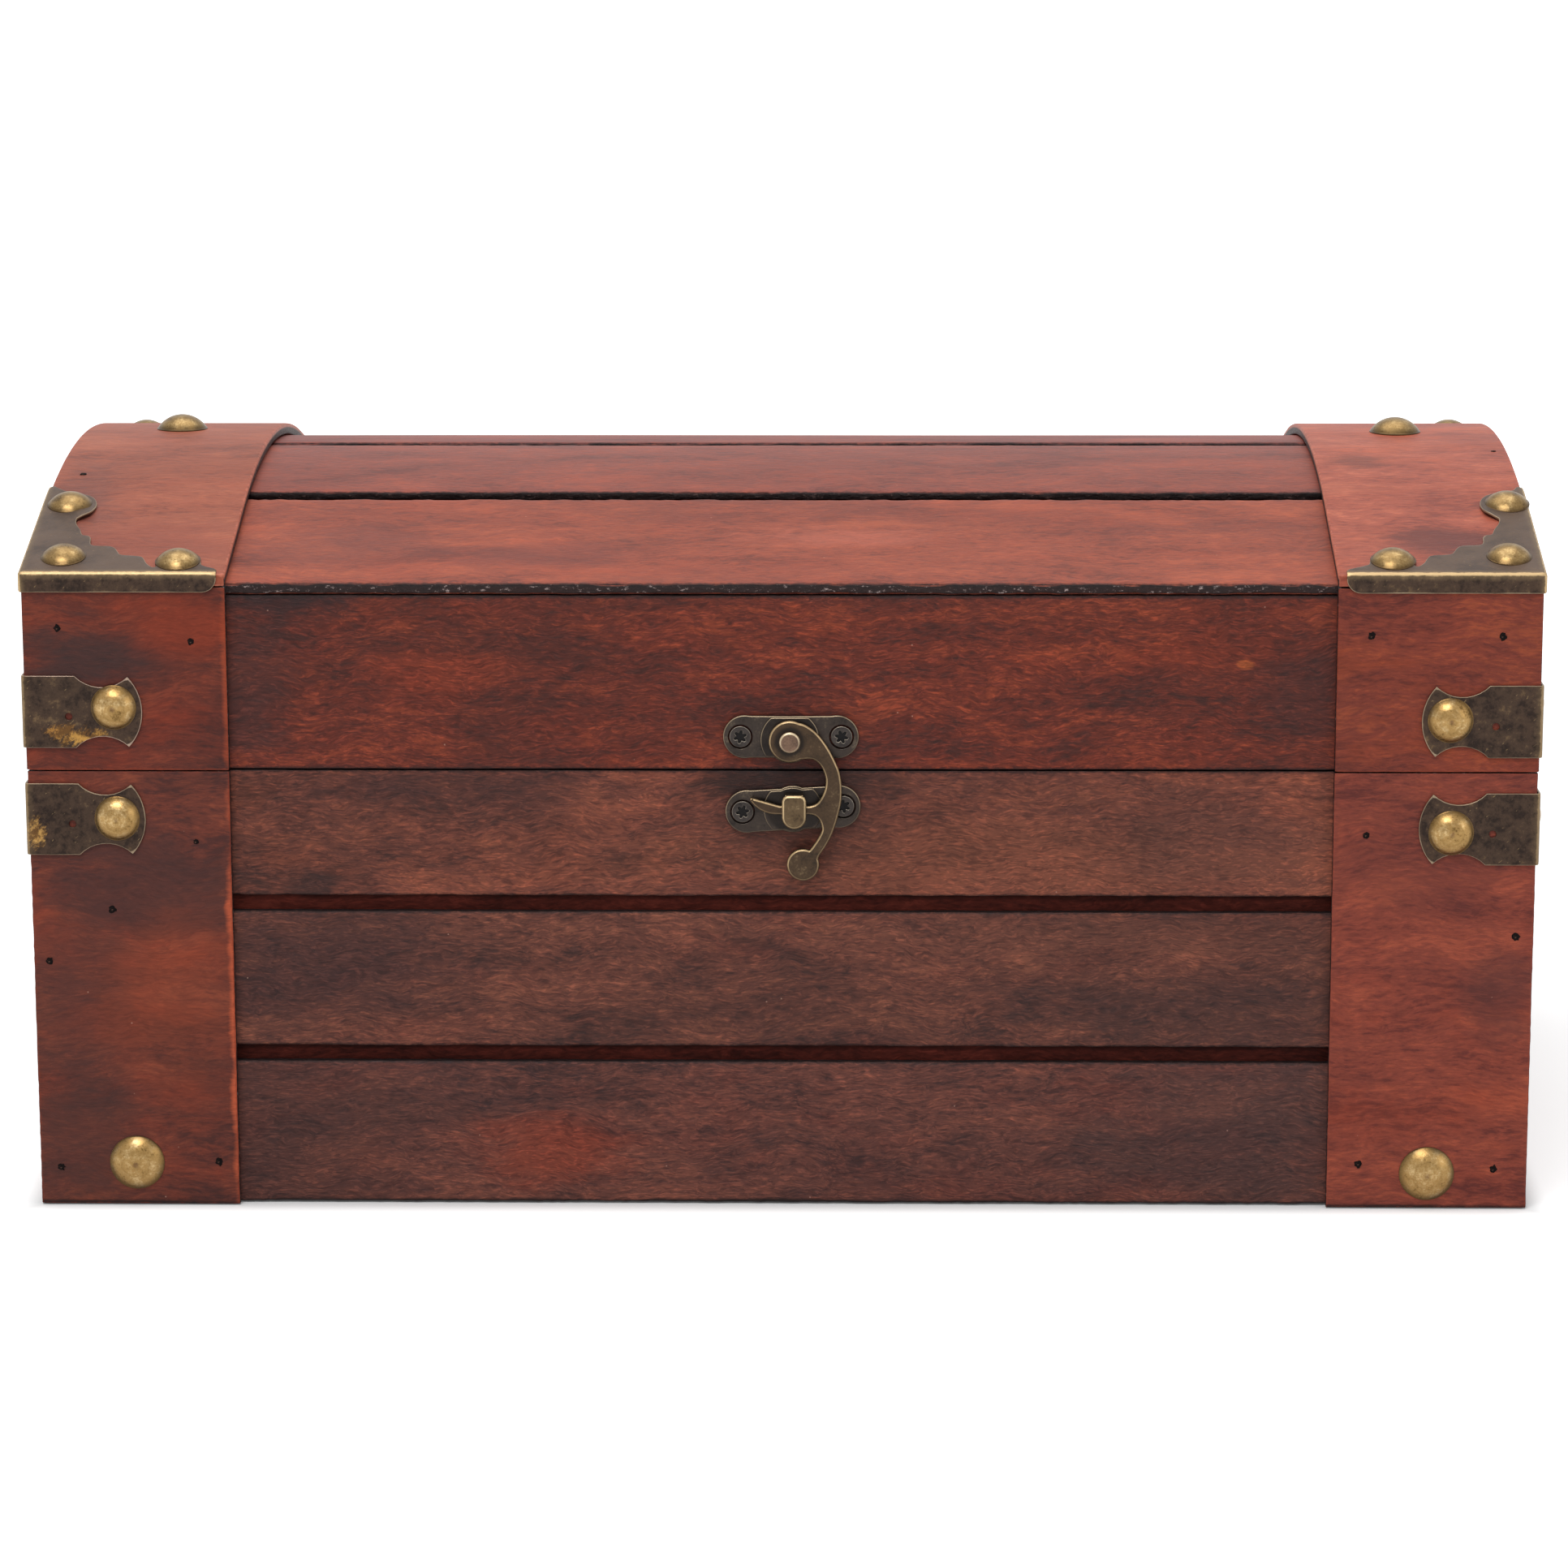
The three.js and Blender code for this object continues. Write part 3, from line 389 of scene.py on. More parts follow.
class Tree:
    """The nodes of a material or a world, with a short call for each kind that repeats."""

    def __init__(self, owner, seed=0, output="ShaderNodeOutputMaterial"):
        owner.use_nodes = True
        self.owner = owner
        self.seed = seed
        self.nodes = owner.node_tree.nodes
        self.links = owner.node_tree.links
        self.nodes.clear()
        self.out = self.add(output)
        place = self.add("ShaderNodeTexCoord").outputs
        self.coords, self.normal = place["Object"], place["Normal"]

    def add(self, kind, inputs=None, **settings):
        node = self.nodes.new(kind)
        for key, value in settings.items():
            setattr(node, key, value)
        for key, value in (inputs or {}).items():
            self.feed(node.inputs[key], value)
        return node

    def feed(self, socket, value):
        if isinstance(value, bpy.types.NodeSocket):
            self.links.new(value, socket)
        else:
            socket.default_value = value

    def math(self, operation, a, b=0.0, c=0.0):
        return self.add("ShaderNodeMath", {0: a, 1: b, 2: c}, operation=operation).outputs[0]

    def times(self, a, b):
        return self.math("MULTIPLY", a, b)

    def plus(self, a, b):
        return self.math("ADD", a, b)

    def linear(self, a, factor, offset):
        return self.math("MULTIPLY_ADD", a, factor, offset)

    def vector(self, operation, a, b=(0, 0, 0), c=(0, 0, 0)):
        node = self.add("ShaderNodeVectorMath", {0: a, 1: b}, operation=operation)
        if operation == "MULTIPLY_ADD":
            self.feed(node.inputs[2], c)
        return node.outputs["Value" if operation in ("LENGTH", "DOT_PRODUCT") else "Vector"]

    def moved(self, vector, scale, offset=(0, 0, 0), turn=(0, 0, 0)):
        return self.add("ShaderNodeMapping", {
            "Vector": vector, "Scale": scale, "Location": offset, "Rotation": turn,
        }).outputs[0]

    def distance(self, centre, radii):
        """Distance from a place in mm, as shares of the radii there."""
        scale = tuple(1000.0 / r for r in radii)
        offset = tuple(-c / r for c, r in zip(centre, radii))
        return self.vector("LENGTH", self.moved(self.coords, scale, offset))

    def noise(self, vector, cells, k, detail, rough, colour=False):
        """Noise with so many cells in a metre; seed and k give each use an offset of its own."""
        cells = cells if isinstance(cells, tuple) else (cells,) * 3
        seed = self.seed
        offset = (seed * 0.37 + k * 1.31, seed * 0.53 - k * 0.71, seed * 0.29 + k * 0.47)
        node = self.add("ShaderNodeTexNoise", {
            "Vector": self.moved(vector, cells, offset), "Scale": 1.0, "Detail": detail, "Roughness": rough,
        })
        return node.outputs["Color" if colour else "Fac"]

    def step(self, value, low, high, to_low=0.0, to_high=1.0):
        return self.add("ShaderNodeMapRange", {
            "Value": value, "From Min": low, "From Max": high, "To Min": to_low, "To Max": to_high,
        }, interpolation_type="SMOOTHSTEP").outputs[0]

    def mix(self, factor, a, b, blend="MIX"):
        inputs = {"Factor": factor, 6: a, 7: b}
        return self.add("ShaderNodeMix", inputs, data_type="RGBA", blend_type=blend).outputs[2]

    def paint(self, factor, colour, rgb):
        return self.mix(factor, colour, srgb(rgb))

    def ramp(self, value, places, colours):
        node = self.add("ShaderNodeValToRGB", {"Fac": value})
        ramp = node.color_ramp
        ramp.interpolation = "EASE"
        while len(ramp.elements) < len(places):
            ramp.elements.new(0.5)
        for element, place, colour in zip(ramp.elements, places, colours):
            element.position = place
            element.color = colour if len(colour) == 4 else srgb(colour)
        return node.outputs["Color"]

    def value(self, name):
        return self.add("ShaderNodeAttribute", attribute_name=name).outputs["Fac"]

    def shown(self):
        """1 for rays that show the background: to the camera, mirrored or through glass."""
        rays = self.add("ShaderNodeLightPath").outputs
        mirrored = self.math("MAXIMUM", rays["Is Glossy Ray"], rays["Is Transmission Ray"])
        return self.math("MAXIMUM", rays["Is Camera Ray"], mirrored)

    def finish(self, colour, roughness, height, distance, strength, **sockets):
        bump = self.add("ShaderNodeBump", {"Height": height, "Distance": distance, "Strength": strength})
        inputs = {"Base Color": colour, "Roughness": roughness, "Normal": bump.outputs[0]}
        inputs.update((key.replace("_", " "), value) for key, value in sockets.items())
        shader = self.add("ShaderNodeBsdfPrincipled", inputs)
        self.links.new(shader.outputs[0], self.out.inputs["Surface"])
        return self.owner


def material_tree(name, seed=0):
    return Tree(bpy.data.materials.new(name), seed)


# A board's broad face, and the shares of that direction between which its cut sides begin
FACINGS = {
    "X": ((1, 0, 0), 0.62, 0.36),
    "Y": ((0, 1, 0), 0.62, 0.36),
    "Z": ((0, 0, 1), 0.62, 0.36),
    "bent": ((1, 0, 0), 0.5, 0.75),
}


def wood(name, seed, tones, cloud=(0.5, None), warm=(0.3, None), spots=(),
         edge=((26, 12, 12), 0.7, 0.8), silk=0.4, fleck=0.45, curl=0.0024, shine=0.5, gloss=0.22,
         relief=1.0, glint=(70, 50, 46), cut_tones=((8, 4, 5), (20, 10, 11)), reveal=0.0,
         behind=None, axis="X", face="Y"):
    """Stained hardwood: curly silky fibres, dark flecks, clouds of stain, dark rough edges.

    tones: the stain's dark, middle and light colour. cloud and warm: amount and colour of the
    large clouds of stain, where None is the dark or light tone. spots: single marks, some of
    them stain, some painted shade and shadow. edge: colour, reach and amount at the arrises. silk,
    fleck, curl and relief shape the fibres. glint: torn fibres in the cut sides. reveal: how deep
    under the dome the cut side begins. behind: the tones of the inner side. axis: where the grain runs."""
    t = material_tree(name, seed)
    turn = (0, 0, math.pi / 2) if axis == "Y" else (0, 0, 0)
    place = t.moved(t.coords, (1, 1, 1), (0, 0, 0), turn)
    slow = t.noise(place, (40, 52, 52), 1, 2.0, 0.5, colour=True)
    waved = t.vector("MULTIPLY_ADD", slow, (0.0, 0.0070, 0.0070), place)
    quick = t.noise(waved, (150, 260, 260), 2, 2.0, 0.55, colour=True)
    curly = t.vector("MULTIPLY_ADD", quick, (0.001, curl, curl), waved)
    figure = t.noise(waved, (34, 120, 120), 3, 6.0, 0.66)
    lines = t.noise(curly, (270, 1200, 1200), 4, 4.0, 0.66)
    strokes = t.noise(curly, (460, 2800, 2800), 5, 2.0, 0.5)
    tone = t.step(t.linear(figure, 0.55, t.times(lines, 0.45)), 0.33, 0.67)
    colour = t.ramp(tone, (0.0, 0.5, 1.0), tones)
    amount, rgb = warm
    if amount:
        glow = t.noise(waved, (22, 60, 60), 8, 6.0, 0.7)
        colour = t.paint(t.step(glow, 0.46, 0.74, 0.0, amount), colour, rgb or tones[2])
    amount, rgb = cloud
    clouds = t.noise(waved, (17, 40, 40), 7, 5.0, 0.66)
    colour = t.paint(t.step(clouds, 0.44, 0.76, 0.0, amount), colour, rgb or tones[0])
    ragged = t.linear(t.noise(curly, (38, 120, 120), 9, 6.0, 0.7), 2.6, -1.3)
    for centre, radii, rgb, amount in spots:
        reach = t.plus(t.distance(centre, radii), ragged)
        colour = t.paint(t.step(reach, 1.35, 0.45, 0.0, amount), colour, rgb)
    pale = t.step(strokes, 0.50, 0.66, 0.0, silk)
    colour = t.mix(pale, colour, t.mix(1.0, colour, (1.75, 1.62, 1.5, 1.0), "MULTIPLY"))
    gloom = t.mix(1.0, colour, (0.36, 0.33, 0.36, 1.0), "MULTIPLY")
    flecks = t.plus(t.noise(curly, (310, 1750, 1750), 10, 3.0, 0.55), 0.175)
    flecks = t.step(t.linear(figure, -0.35, flecks), 0.46, 0.68, 0.0, fleck)
    colour = t.mix(flecks, colour, gloom)
    dots = t.add("ShaderNodeTexVoronoi", {"Vector": t.coords, "Scale": 330.0}).outputs
    chance = t.add("ShaderNodeSeparateColor", {"Color": dots["Color"]}).outputs[0]
    speck = t.times(t.step(dots["Distance"], 0.07, 0.03), t.math("GREATER_THAN", chance, 0.92))
    colour = t.paint(t.times(speck, 0.5), colour, (190, 150, 132))
    bite = t.noise(t.coords, 800, 11, 3.0, 0.62)
    rim = t.linear(bite, -1.3, t.plus(t.value("arris"), 0.6))
    rgb, reach, amount = edge
    colour = t.paint(t.step(rim, reach, 0.05, 0.0, amount), colour, rgb)
    broad, start, stop = FACINGS[face]
    facing = t.math("ABSOLUTE", t.vector("DOT_PRODUCT", t.normal, broad))
    cut = t.step(facing, start, stop, 0.0, 0.97)
    if reveal:
        cut = t.times(cut, t.step(t.value("below"), reveal - 0.25, reveal + 0.25))
    sawn = t.noise(t.coords, (700, 1300, 1300), 12, 4.0, 0.7)
    colour = t.mix(cut, colour, t.ramp(sawn, (0.35, 0.57, 0.70), (*cut_tones, glint)))
    if behind:
        inward = t.step(t.vector("DOT_PRODUCT", t.normal, (0, 0.5, -0.5)), 0.1, 0.3)
        colour = t.mix(inward, colour, t.ramp(tone, (0.0, 0.5, 1.0), behind))
    roughness = t.linear(lines, 0.2, t.linear(pale, -0.12, shine - 0.04))
    height = t.linear(strokes, 0.4, t.times(lines, 0.6))
    height = t.linear(t.times(cut, sawn), 2.5, height)
    return t.finish(colour, roughness, height, 0.00022 * relief, 0.9, Specular_IOR_Level=gloss)


def sheet_metal(name, seed, rim=(164, 146, 120), folds=1.0, spots=()):
    """Antique bronze sheet: grey-brown on top, painted shade where it hangs, painted highlight along the
    folds.

    rim: colour of the free edges, worn and with a painted highlight. folds: strength of the painted highlight
    along the folds. spots: rubbed places."""
    t = material_tree(name, seed)
    patches = t.noise(t.coords, 110, 1, 5.0, 0.6)
    grit = t.noise(t.coords, 1500, 2, 3.0, 0.6)
    speckle = t.noise(t.coords, 520, 5, 4.0, 0.7)
    tone = t.linear(grit, 0.3, t.times(patches, 0.7))
    top = t.ramp(tone, (0.36, 0.55, 0.85), ((72, 58, 50), (93, 75, 63), (120, 98, 78)))
    mottle = t.linear(speckle, 0.65, t.times(patches, 0.35))
    # darker tones where the sheet hangs: painted shade
    hanging_shaded = t.ramp(mottle, (0.38, 0.54, 0.74), ((39, 29, 24), (64, 49, 39), (110, 88, 62)))
    up = t.step(t.vector("DOT_PRODUCT", t.normal, (0, 0, 1)), 0.45, 0.85)
    colour = t.mix(up, hanging_shaded, top)
    tilted = t.moved(t.coords, (1, 1, 1), (0, 0, 0), (0.0, 0.75, 0.3))
    scratch = t.noise(tilted, (90, 2300, 2300), 3, 2.0, 0.5)
    colour = t.paint(t.step(scratch, 0.68, 0.78, 0.0, 0.4), colour, (170, 142, 100))
    ragged = t.noise(tilted, (330, 900, 900), 4, 5.0, 0.75)
    for centre, radii, rgb, amount in spots:
        reach = t.linear(ragged, 3.2, t.distance(centre, radii))
        rubbed = t.paint(t.step(speckle, 0.62, 0.42), srgb(rgb), (96, 66, 34))
        colour = t.mix(t.step(reach, 2.6, 2.0, 0.0, amount), colour, rubbed)
    # pale free edges: worn metal, with a painted highlight along the rounded rim
    edge = t.linear(patches, -0.4, t.plus(t.value("rim"), 0.2))
    colour = t.paint(t.step(edge, 0.22, 0.02, 0.0, 0.8), colour, rim)
    # gold along the folds: painted highlight on the bends
    fold = t.linear(speckle, -0.9, t.plus(t.value("fold"), 0.45))
    for low, high, amount, gold in ((1.9, 0.2, 0.45, (140, 118, 86)), (0.66, 0.3, 0.95, (186, 158, 116))):
        colour = t.paint(t.times(t.step(fold, low, high, 0.0, amount), folds), colour, gold)
    height = t.linear(patches, 0.8, t.times(speckle, 0.3))
    return t.finish(colour, t.linear(grit, 0.25, 0.32), height, 0.00022, 0.7, Metallic=0.8)


def cast_metal(name, seed, dark, body, gold, rings=()):
    """Antique bronze casting: painted highlight on its bevels, most where they turn up; painted shade on its
    sides.

    rings: rings of painted shade on the front, as x, z, inner and outer radius in mm, and amount."""
    t = material_tree(name, seed)
    patches = t.noise(t.coords, 260, 1, 5.0, 0.62)
    grit = t.noise(t.coords, 2200, 2, 3.0, 0.6)
    tone = t.linear(grit, 0.35, t.times(patches, 0.7))
    colour = t.ramp(tone, (0.36, 0.56, 1.0), (dark, body, gold))
    # rings of painted shade and shadow round the pivot, the rivet and the keeper's nose
    for x, z, low, high, amount in rings:
        offset = t.vector("SUBTRACT", t.coords, (x * MM, 0, z * MM))
        away = t.vector("LENGTH", t.vector("MULTIPLY", offset, (1000, 0, 1000)))
        ring = t.times(t.step(away, low - 0.1, low + 0.1), t.step(away, high, high - 1.0))
        colour = t.paint(t.times(ring, amount), colour, (26, 21, 18))
    # painted highlight on the bevels, brighter where they turn up, and painted shade on the side walls
    facing = t.math("ABSOLUTE", t.vector("DOT_PRODUCT", t.normal, (0, 1, 0)))
    up = t.vector("DOT_PRODUCT", t.normal, (-0.25, 0, 0.97))
    bevel = t.times(t.step(facing, 0.985, 0.9), t.step(facing, 0.15, 0.4))
    bevel = t.times(bevel, t.step(t.value("calm"), 1.0, 0.0))
    bevel = t.times(bevel, t.step(patches, 0.25, 0.5, 0.6, 1.0))
    colour = t.paint(t.times(bevel, t.step(up, -0.35, 0.35, 0.3, 0.95)), colour, gold)
    colour = t.paint(t.times(t.step(facing, 0.5, 0.2), 0.8), colour, (30, 24, 20))
    return t.finish(colour, t.linear(grit, 0.22, 0.28), patches, 0.00016, 0.5, Metallic=0.8)


def tack_brass(name, seed, radius, rings, tones):
    """Brass tack, darker at its rim by painted shade; rings: strength of the turning marks round its middle.
    """
    t = material_tree(name, seed)
    reach = t.vector("LENGTH", t.vector("MULTIPLY", t.coords, (1000 / radius, 1000 / radius, 0)))
    chance = t.add("ShaderNodeObjectInfo").outputs["Random"]
    shift = t.add("ShaderNodeCombineXYZ", {"X": t.times(chance, 3.7), "Y": t.times(chance, 7.1), "Z": 0.0})
    own = t.vector("ADD", t.coords, shift.outputs[0])
    patches = t.noise(own, 330, 1, 5.0, 0.66)
    grit = t.noise(own, 2400, 2, 3.0, 0.6)
    wobble = t.linear(patches, 0.5, reach)
    marks = t.math("SINE", t.times(wobble, 19.0))
    colour = t.ramp(t.linear(grit, 0.35, t.times(patches, 0.75)), (0.36, 0.52, 0.78), tones)
    # painted shade darkening the rim
    edge = t.linear(patches, 0.3, reach)
    colour = t.paint(t.step(edge, 0.92, 1.2, 0.0, 0.9), colour, (56, 38, 20))
    if rings:
        colour = t.paint(t.step(wobble, 0.42, 0.26, 0.0, 0.75), colour, (104, 76, 52))
        colour = t.paint(t.step(marks, 0.2, 1.0, 0.0, rings), colour, (118, 92, 50))
    height = t.linear(marks, 0.05 * rings, patches)
    return t.finish(colour, t.linear(grit, 0.22, 0.2), height, 0.00012, 0.7, Metallic=0.9)


def brad_iron():
    """Small nail head: dark iron, a ragged ring of painted shade, and a few pale grains of painted glint in
    the middle.
    """
    t = material_tree("iron_brad", 42)
    grit = t.noise(t.coords, 1700, 1, 4.0, 0.7)
    reach = t.vector("LENGTH", t.vector("MULTIPLY", t.coords, (1000, 1000, 0)))
    # the pale grains are a painted glint, the dark ring is painted shade
    colour = t.ramp(grit, (0.4, 0.56, 0.7), ((10, 6, 6), (30, 18, 16), (132, 102, 88)))
    ring = t.step(t.linear(grit, -0.6, reach), -0.1, 0.3, 0.0, 0.95)
    colour = t.paint(ring, colour, (12, 7, 7))
    return t.finish(colour, 0.75, grit, 0.0002, 1.0, Specular_IOR_Level=0.1)


def stains_and_shade(depth, *rows):
    """Stain and painted shade spots on the front at a depth: x, z, half width, half height in mm, colour,
    amount.
    """
    return [((x, -depth, z), (across, 6, up), rgb, amount) for x, z, across, up, rgb, amount in rows]


# Depths at which the sheet metal is stained and the grooves' floors get painted shade
METAL_FACE = 91
GROOVE_FACE = 86

# Colours that come back, judged
EMBER = (150, 62, 38)
SOOT = (44, 28, 27)
PALE_ARRIS = (206, 122, 98)
TORN = (150, 136, 132)
# near-black: painted shade in the grooves, and the dark bottom edge with its painted contact shadow
SHADE_DARK = (14, 8, 8)
INNER_TONES = ((66, 31, 26), (94, 43, 33), (124, 60, 44))
WALL_EDGE = ((26, 12, 11), (50, 25, 22))
WARM_BRASS = ((88, 68, 42), (134, 108, 68), (186, 158, 110))
PALE_BRASS = ((108, 82, 44), (157, 125, 76), (206, 178, 130))

# What the boards of a kind have in common
DOME = {"face": "bent", "silk": 0.15, "fleck": 0.16, "shine": 0.44, "curl": 0.0014, "reveal": 0.9,
        "glint": TORN, "cut_tones": ((20, 7, 7), (40, 15, 14))}
SLAT = {"face": "Z", "silk": 0.18, "fleck": 0.22, "shine": 0.44}
PLANK = {"silk": 0.8, "fleck": 0.6, "relief": 1.7}
STRAP = {"silk": 0.22, "fleck": 0.25, "curl": 0.0015}

dome_wood = {
    "left": wood(
        "stain_dome_strap_left", 1, ((119, 59, 43), (150, 80, 59), (168, 95, 70)),
        cloud=(0.4, None), warm=(0.45, (172, 86, 60)), edge=(PALE_ARRIS, 0.6, 0.75),
        spots=[((-150, -60, 146), (9, 26, 30), (104, 62, 56), 0.6),
               ((-134, -74, 139), (24, 10, 9), (134, 68, 54), 0.45)], **DOME),
    "right": wood(
        "stain_dome_strap_right", 2, ((128, 62, 50), (162, 84, 66), (188, 106, 82)),
        cloud=(0.45, None), warm=(0.6, (200, 98, 62)), edge=(PALE_ARRIS, 0.6, 0.65),
        spots=[((137, -74, 138), (13, 7, 12), (92, 48, 44), 0.8),
               ((124, -30, 150), (7, 5, 10), (84, 44, 40), 0.6)], **DOME),
}
slat_wood = {
    "front": wood(
        "stain_slat_front", 3, ((111, 51, 38), (144, 70, 51), (169, 85, 59)),
        cloud=(0.65, (96, 47, 42)), warm=(0.5, (172, 78, 52)), edge=((26, 12, 12), 0.8, 0.8),
        glint=(168, 150, 146),
        spots=[((-52, -75, 139), (22, 7, 8), (104, 52, 46), 0.5),
               ((-96, -70, 142), (24, 10, 9), (112, 58, 50), 0.6),
               ((10, -66, 140), (18, 5, 8), (190, 104, 82), 0.45)], **SLAT),
    "upper": wood(
        "stain_slat_upper", 4, ((98, 48, 41), (131, 66, 54), (154, 77, 59)),
        cloud=(0.5, (92, 46, 42)), warm=(0.4, (150, 68, 48)), glint=(88, 68, 64), **SLAT),
    "rear": wood(
        "stain_slat_rear", 5, ((92, 44, 40), (126, 62, 54), (150, 76, 60)), warm=(0.35, None), **SLAT),
}
rail_wood = wood(
    "stain_lid_rail", 6, ((64, 31, 26), (97, 41, 30), (134, 60, 39)),
    cloud=(0.6, (42, 26, 24)), warm=(0.5, (130, 51, 29)), **PLANK, spots=stains_and_shade(
        PLANK_FACE,
        (-104, 131, 18, 6, (38, 24, 25), 0.85),
        (-111, 112, 10, 16, (62, 36, 34), 0.6),
        (108, 108, 9, 14, (58, 32, 30), 0.55),
        (-70, 114, 16, 5, EMBER, 0.3),
        (96, 116, 1.6, 0.9, (176, 92, 48), 0.6),
        # painted shadow of the hook and plates round the latch
        (3, 100, 20, 8, (40, 20, 18), 0.5)))
plank_wood = {
    "upper": wood(
        "stain_plank_upper", 7, ((70, 40, 34), (110, 61, 49), (142, 80, 60)),
        cloud=(0.55, SOOT), warm=(0.5, (128, 66, 44)), **PLANK, spots=stains_and_shade(
            PLANK_FACE,
            (-98, 68, 5, 4, SOOT, 0.7),
            (-70, 90, 40, 4, (54, 32, 31), 0.55),
            (40, 74, 70, 9, (132, 76, 56), 0.5),
            (92, 78, 22, 10, (86, 52, 44), 0.6),
            # these two: painted shadow of the hook and plates round the latch, and under the keeper plate
            (3, 91, 18, 5, (30, 17, 15), 0.8),
            (6, 80, 18, 7, (48, 26, 22), 0.55))),
    "middle": wood(
        "stain_plank_middle", 8, ((61, 36, 32), (97, 56, 46), (128, 76, 59)),
        cloud=(0.6, SOOT), warm=(0.4, (112, 52, 40)), **PLANK, spots=stains_and_shade(
            PLANK_FACE,
            (-100, 52, 30, 14, (56, 34, 34), 0.6),
            (92, 42, 52, 8, (46, 32, 32), 0.55),
            (70, 58, 60, 4, (104, 62, 50), 0.45))),
    "lower": wood(
        "stain_plank_lower", 9, ((60, 36, 34), (96, 56, 48), (124, 72, 58)),
        cloud=(0.6, (46, 32, 34)), warm=(0.4, (112, 46, 34)), **PLANK, spots=stains_and_shade(
            PLANK_FACE,
            (-104, 16, 26, 22, (62, 38, 35), 0.5),
            (-48, 11, 16, 7, (128, 54, 36), 0.6),
            (96, 16, 34, 20, (60, 44, 43), 0.5),
            # dark bottom edge with a painted contact shadow
            (0, 0, 130, 0.8, SHADE_DARK, 0.9))),
}
strap_wood = {
    "base_left": wood(
        "stain_base_strap_left", 10, ((70, 35, 31), (105, 51, 39), (136, 68, 48)),
        cloud=(0.55, SOOT), warm=(0.6, EMBER), edge=((122, 46, 26), 0.55, 0.55), glint=TORN,
        **STRAP, spots=stains_and_shade(
            STRAP_FACE,
            (-148, 50, 12, 26, (62, 38, 36), 0.5),
            (-134, 71, 24, 12, (66, 38, 35), 0.75),
            (-147, 14, 12, 14, (62, 38, 35), 0.65),
            (-128, 44, 16, 14, (140, 64, 40), 0.4),
            (-114.6, 36, 1.3, 44, (196, 92, 58), 0.75),
            # dark bottom edge with a painted contact shadow
            (-135, 0, 40, 0.8, SHADE_DARK, 0.9))),
    "base_right": wood(
        "stain_base_strap_right", 11, ((96, 42, 36), (132, 62, 48), (160, 78, 56)),
        cloud=(0.35, (82, 42, 38)), warm=(0.5, EMBER), edge=((146, 68, 50), 0.5, 0.4), glint=TORN,
        **STRAP, spots=stains_and_shade(
            STRAP_FACE,
            (150, 46, 8, 12, (76, 42, 40), 0.55),
            (136, 72, 18, 8, (104, 50, 42), 0.4),
            # dark bottom edge with a painted contact shadow
            (135, 0, 40, 0.8, SHADE_DARK, 0.9))),
    "lid_left": wood(
        "stain_lid_strap_left", 12, ((62, 30, 26), (93, 42, 32), (122, 56, 39)),
        warm=(0.6, (146, 55, 30)), cloud=(0.5, SOOT), edge=((150, 62, 36), 0.5, 0.4), glint=TORN,
        **STRAP, spots=stains_and_shade(
            STRAP_FACE,
            (-142, 117, 15, 8, (52, 37, 36), 0.75),
            (-114.6, 113, 1.2, 20, (168, 74, 44), 0.6),
            (-124, 124, 12, 7, (150, 58, 32), 0.5))),
    "lid_right": wood(
        "stain_lid_strap_right", 13, ((88, 38, 32), (124, 56, 42), (154, 74, 48)),
        cloud=(0.35, (76, 38, 34)), warm=(0.6, (152, 66, 34)), edge=((140, 62, 42), 0.5, 0.4),
        glint=TORN, **STRAP),
    "rear": wood(
        "stain_rear_straps", 14, ((84, 38, 34), (120, 56, 44), (150, 72, 52)),
        cloud=(0.45, SOOT), warm=(0.5, EMBER), edge=((140, 62, 42), 0.5, 0.4), **STRAP),
}
rear_wood = wood(
    "stain_rear_planks", 15, ((56, 33, 32), (88, 49, 43), (122, 66, 52)),
    cloud=(0.6, SOOT), warm=(0.4, (118, 52, 36)), silk=0.5)
end_wood = wood(
    "stain_ends", 16, ((64, 33, 31), (98, 47, 40), (130, 64, 48)),
    cloud=(0.55, SOOT), warm=(0.5, (126, 52, 34)), silk=0.45, cut_tones=WALL_EDGE, axis="Y", face="X")
floor_wood = wood(
    "stain_groove_floors", 17, ((60, 26, 22), (86, 37, 30), (112, 50, 40)),
    cloud=(0.4, None), warm=(0.0, None), silk=0.3, shine=0.7, gloss=0.08, behind=INNER_TONES,
    # painted shade at the top of each groove, under the plank above
    spots=stains_and_shade(GROOVE_FACE, (0, 66.3, 400, 1.1, SHADE_DARK, 0.6), (0, 33.9, 400, 1.0, SHADE_DARK, 0.6)))
inner_wood = wood(
    "stain_inside", 18, INNER_TONES, cloud=(0.3, None), warm=(0.2, None), silk=0.3,
    cut_tones=WALL_EDGE)

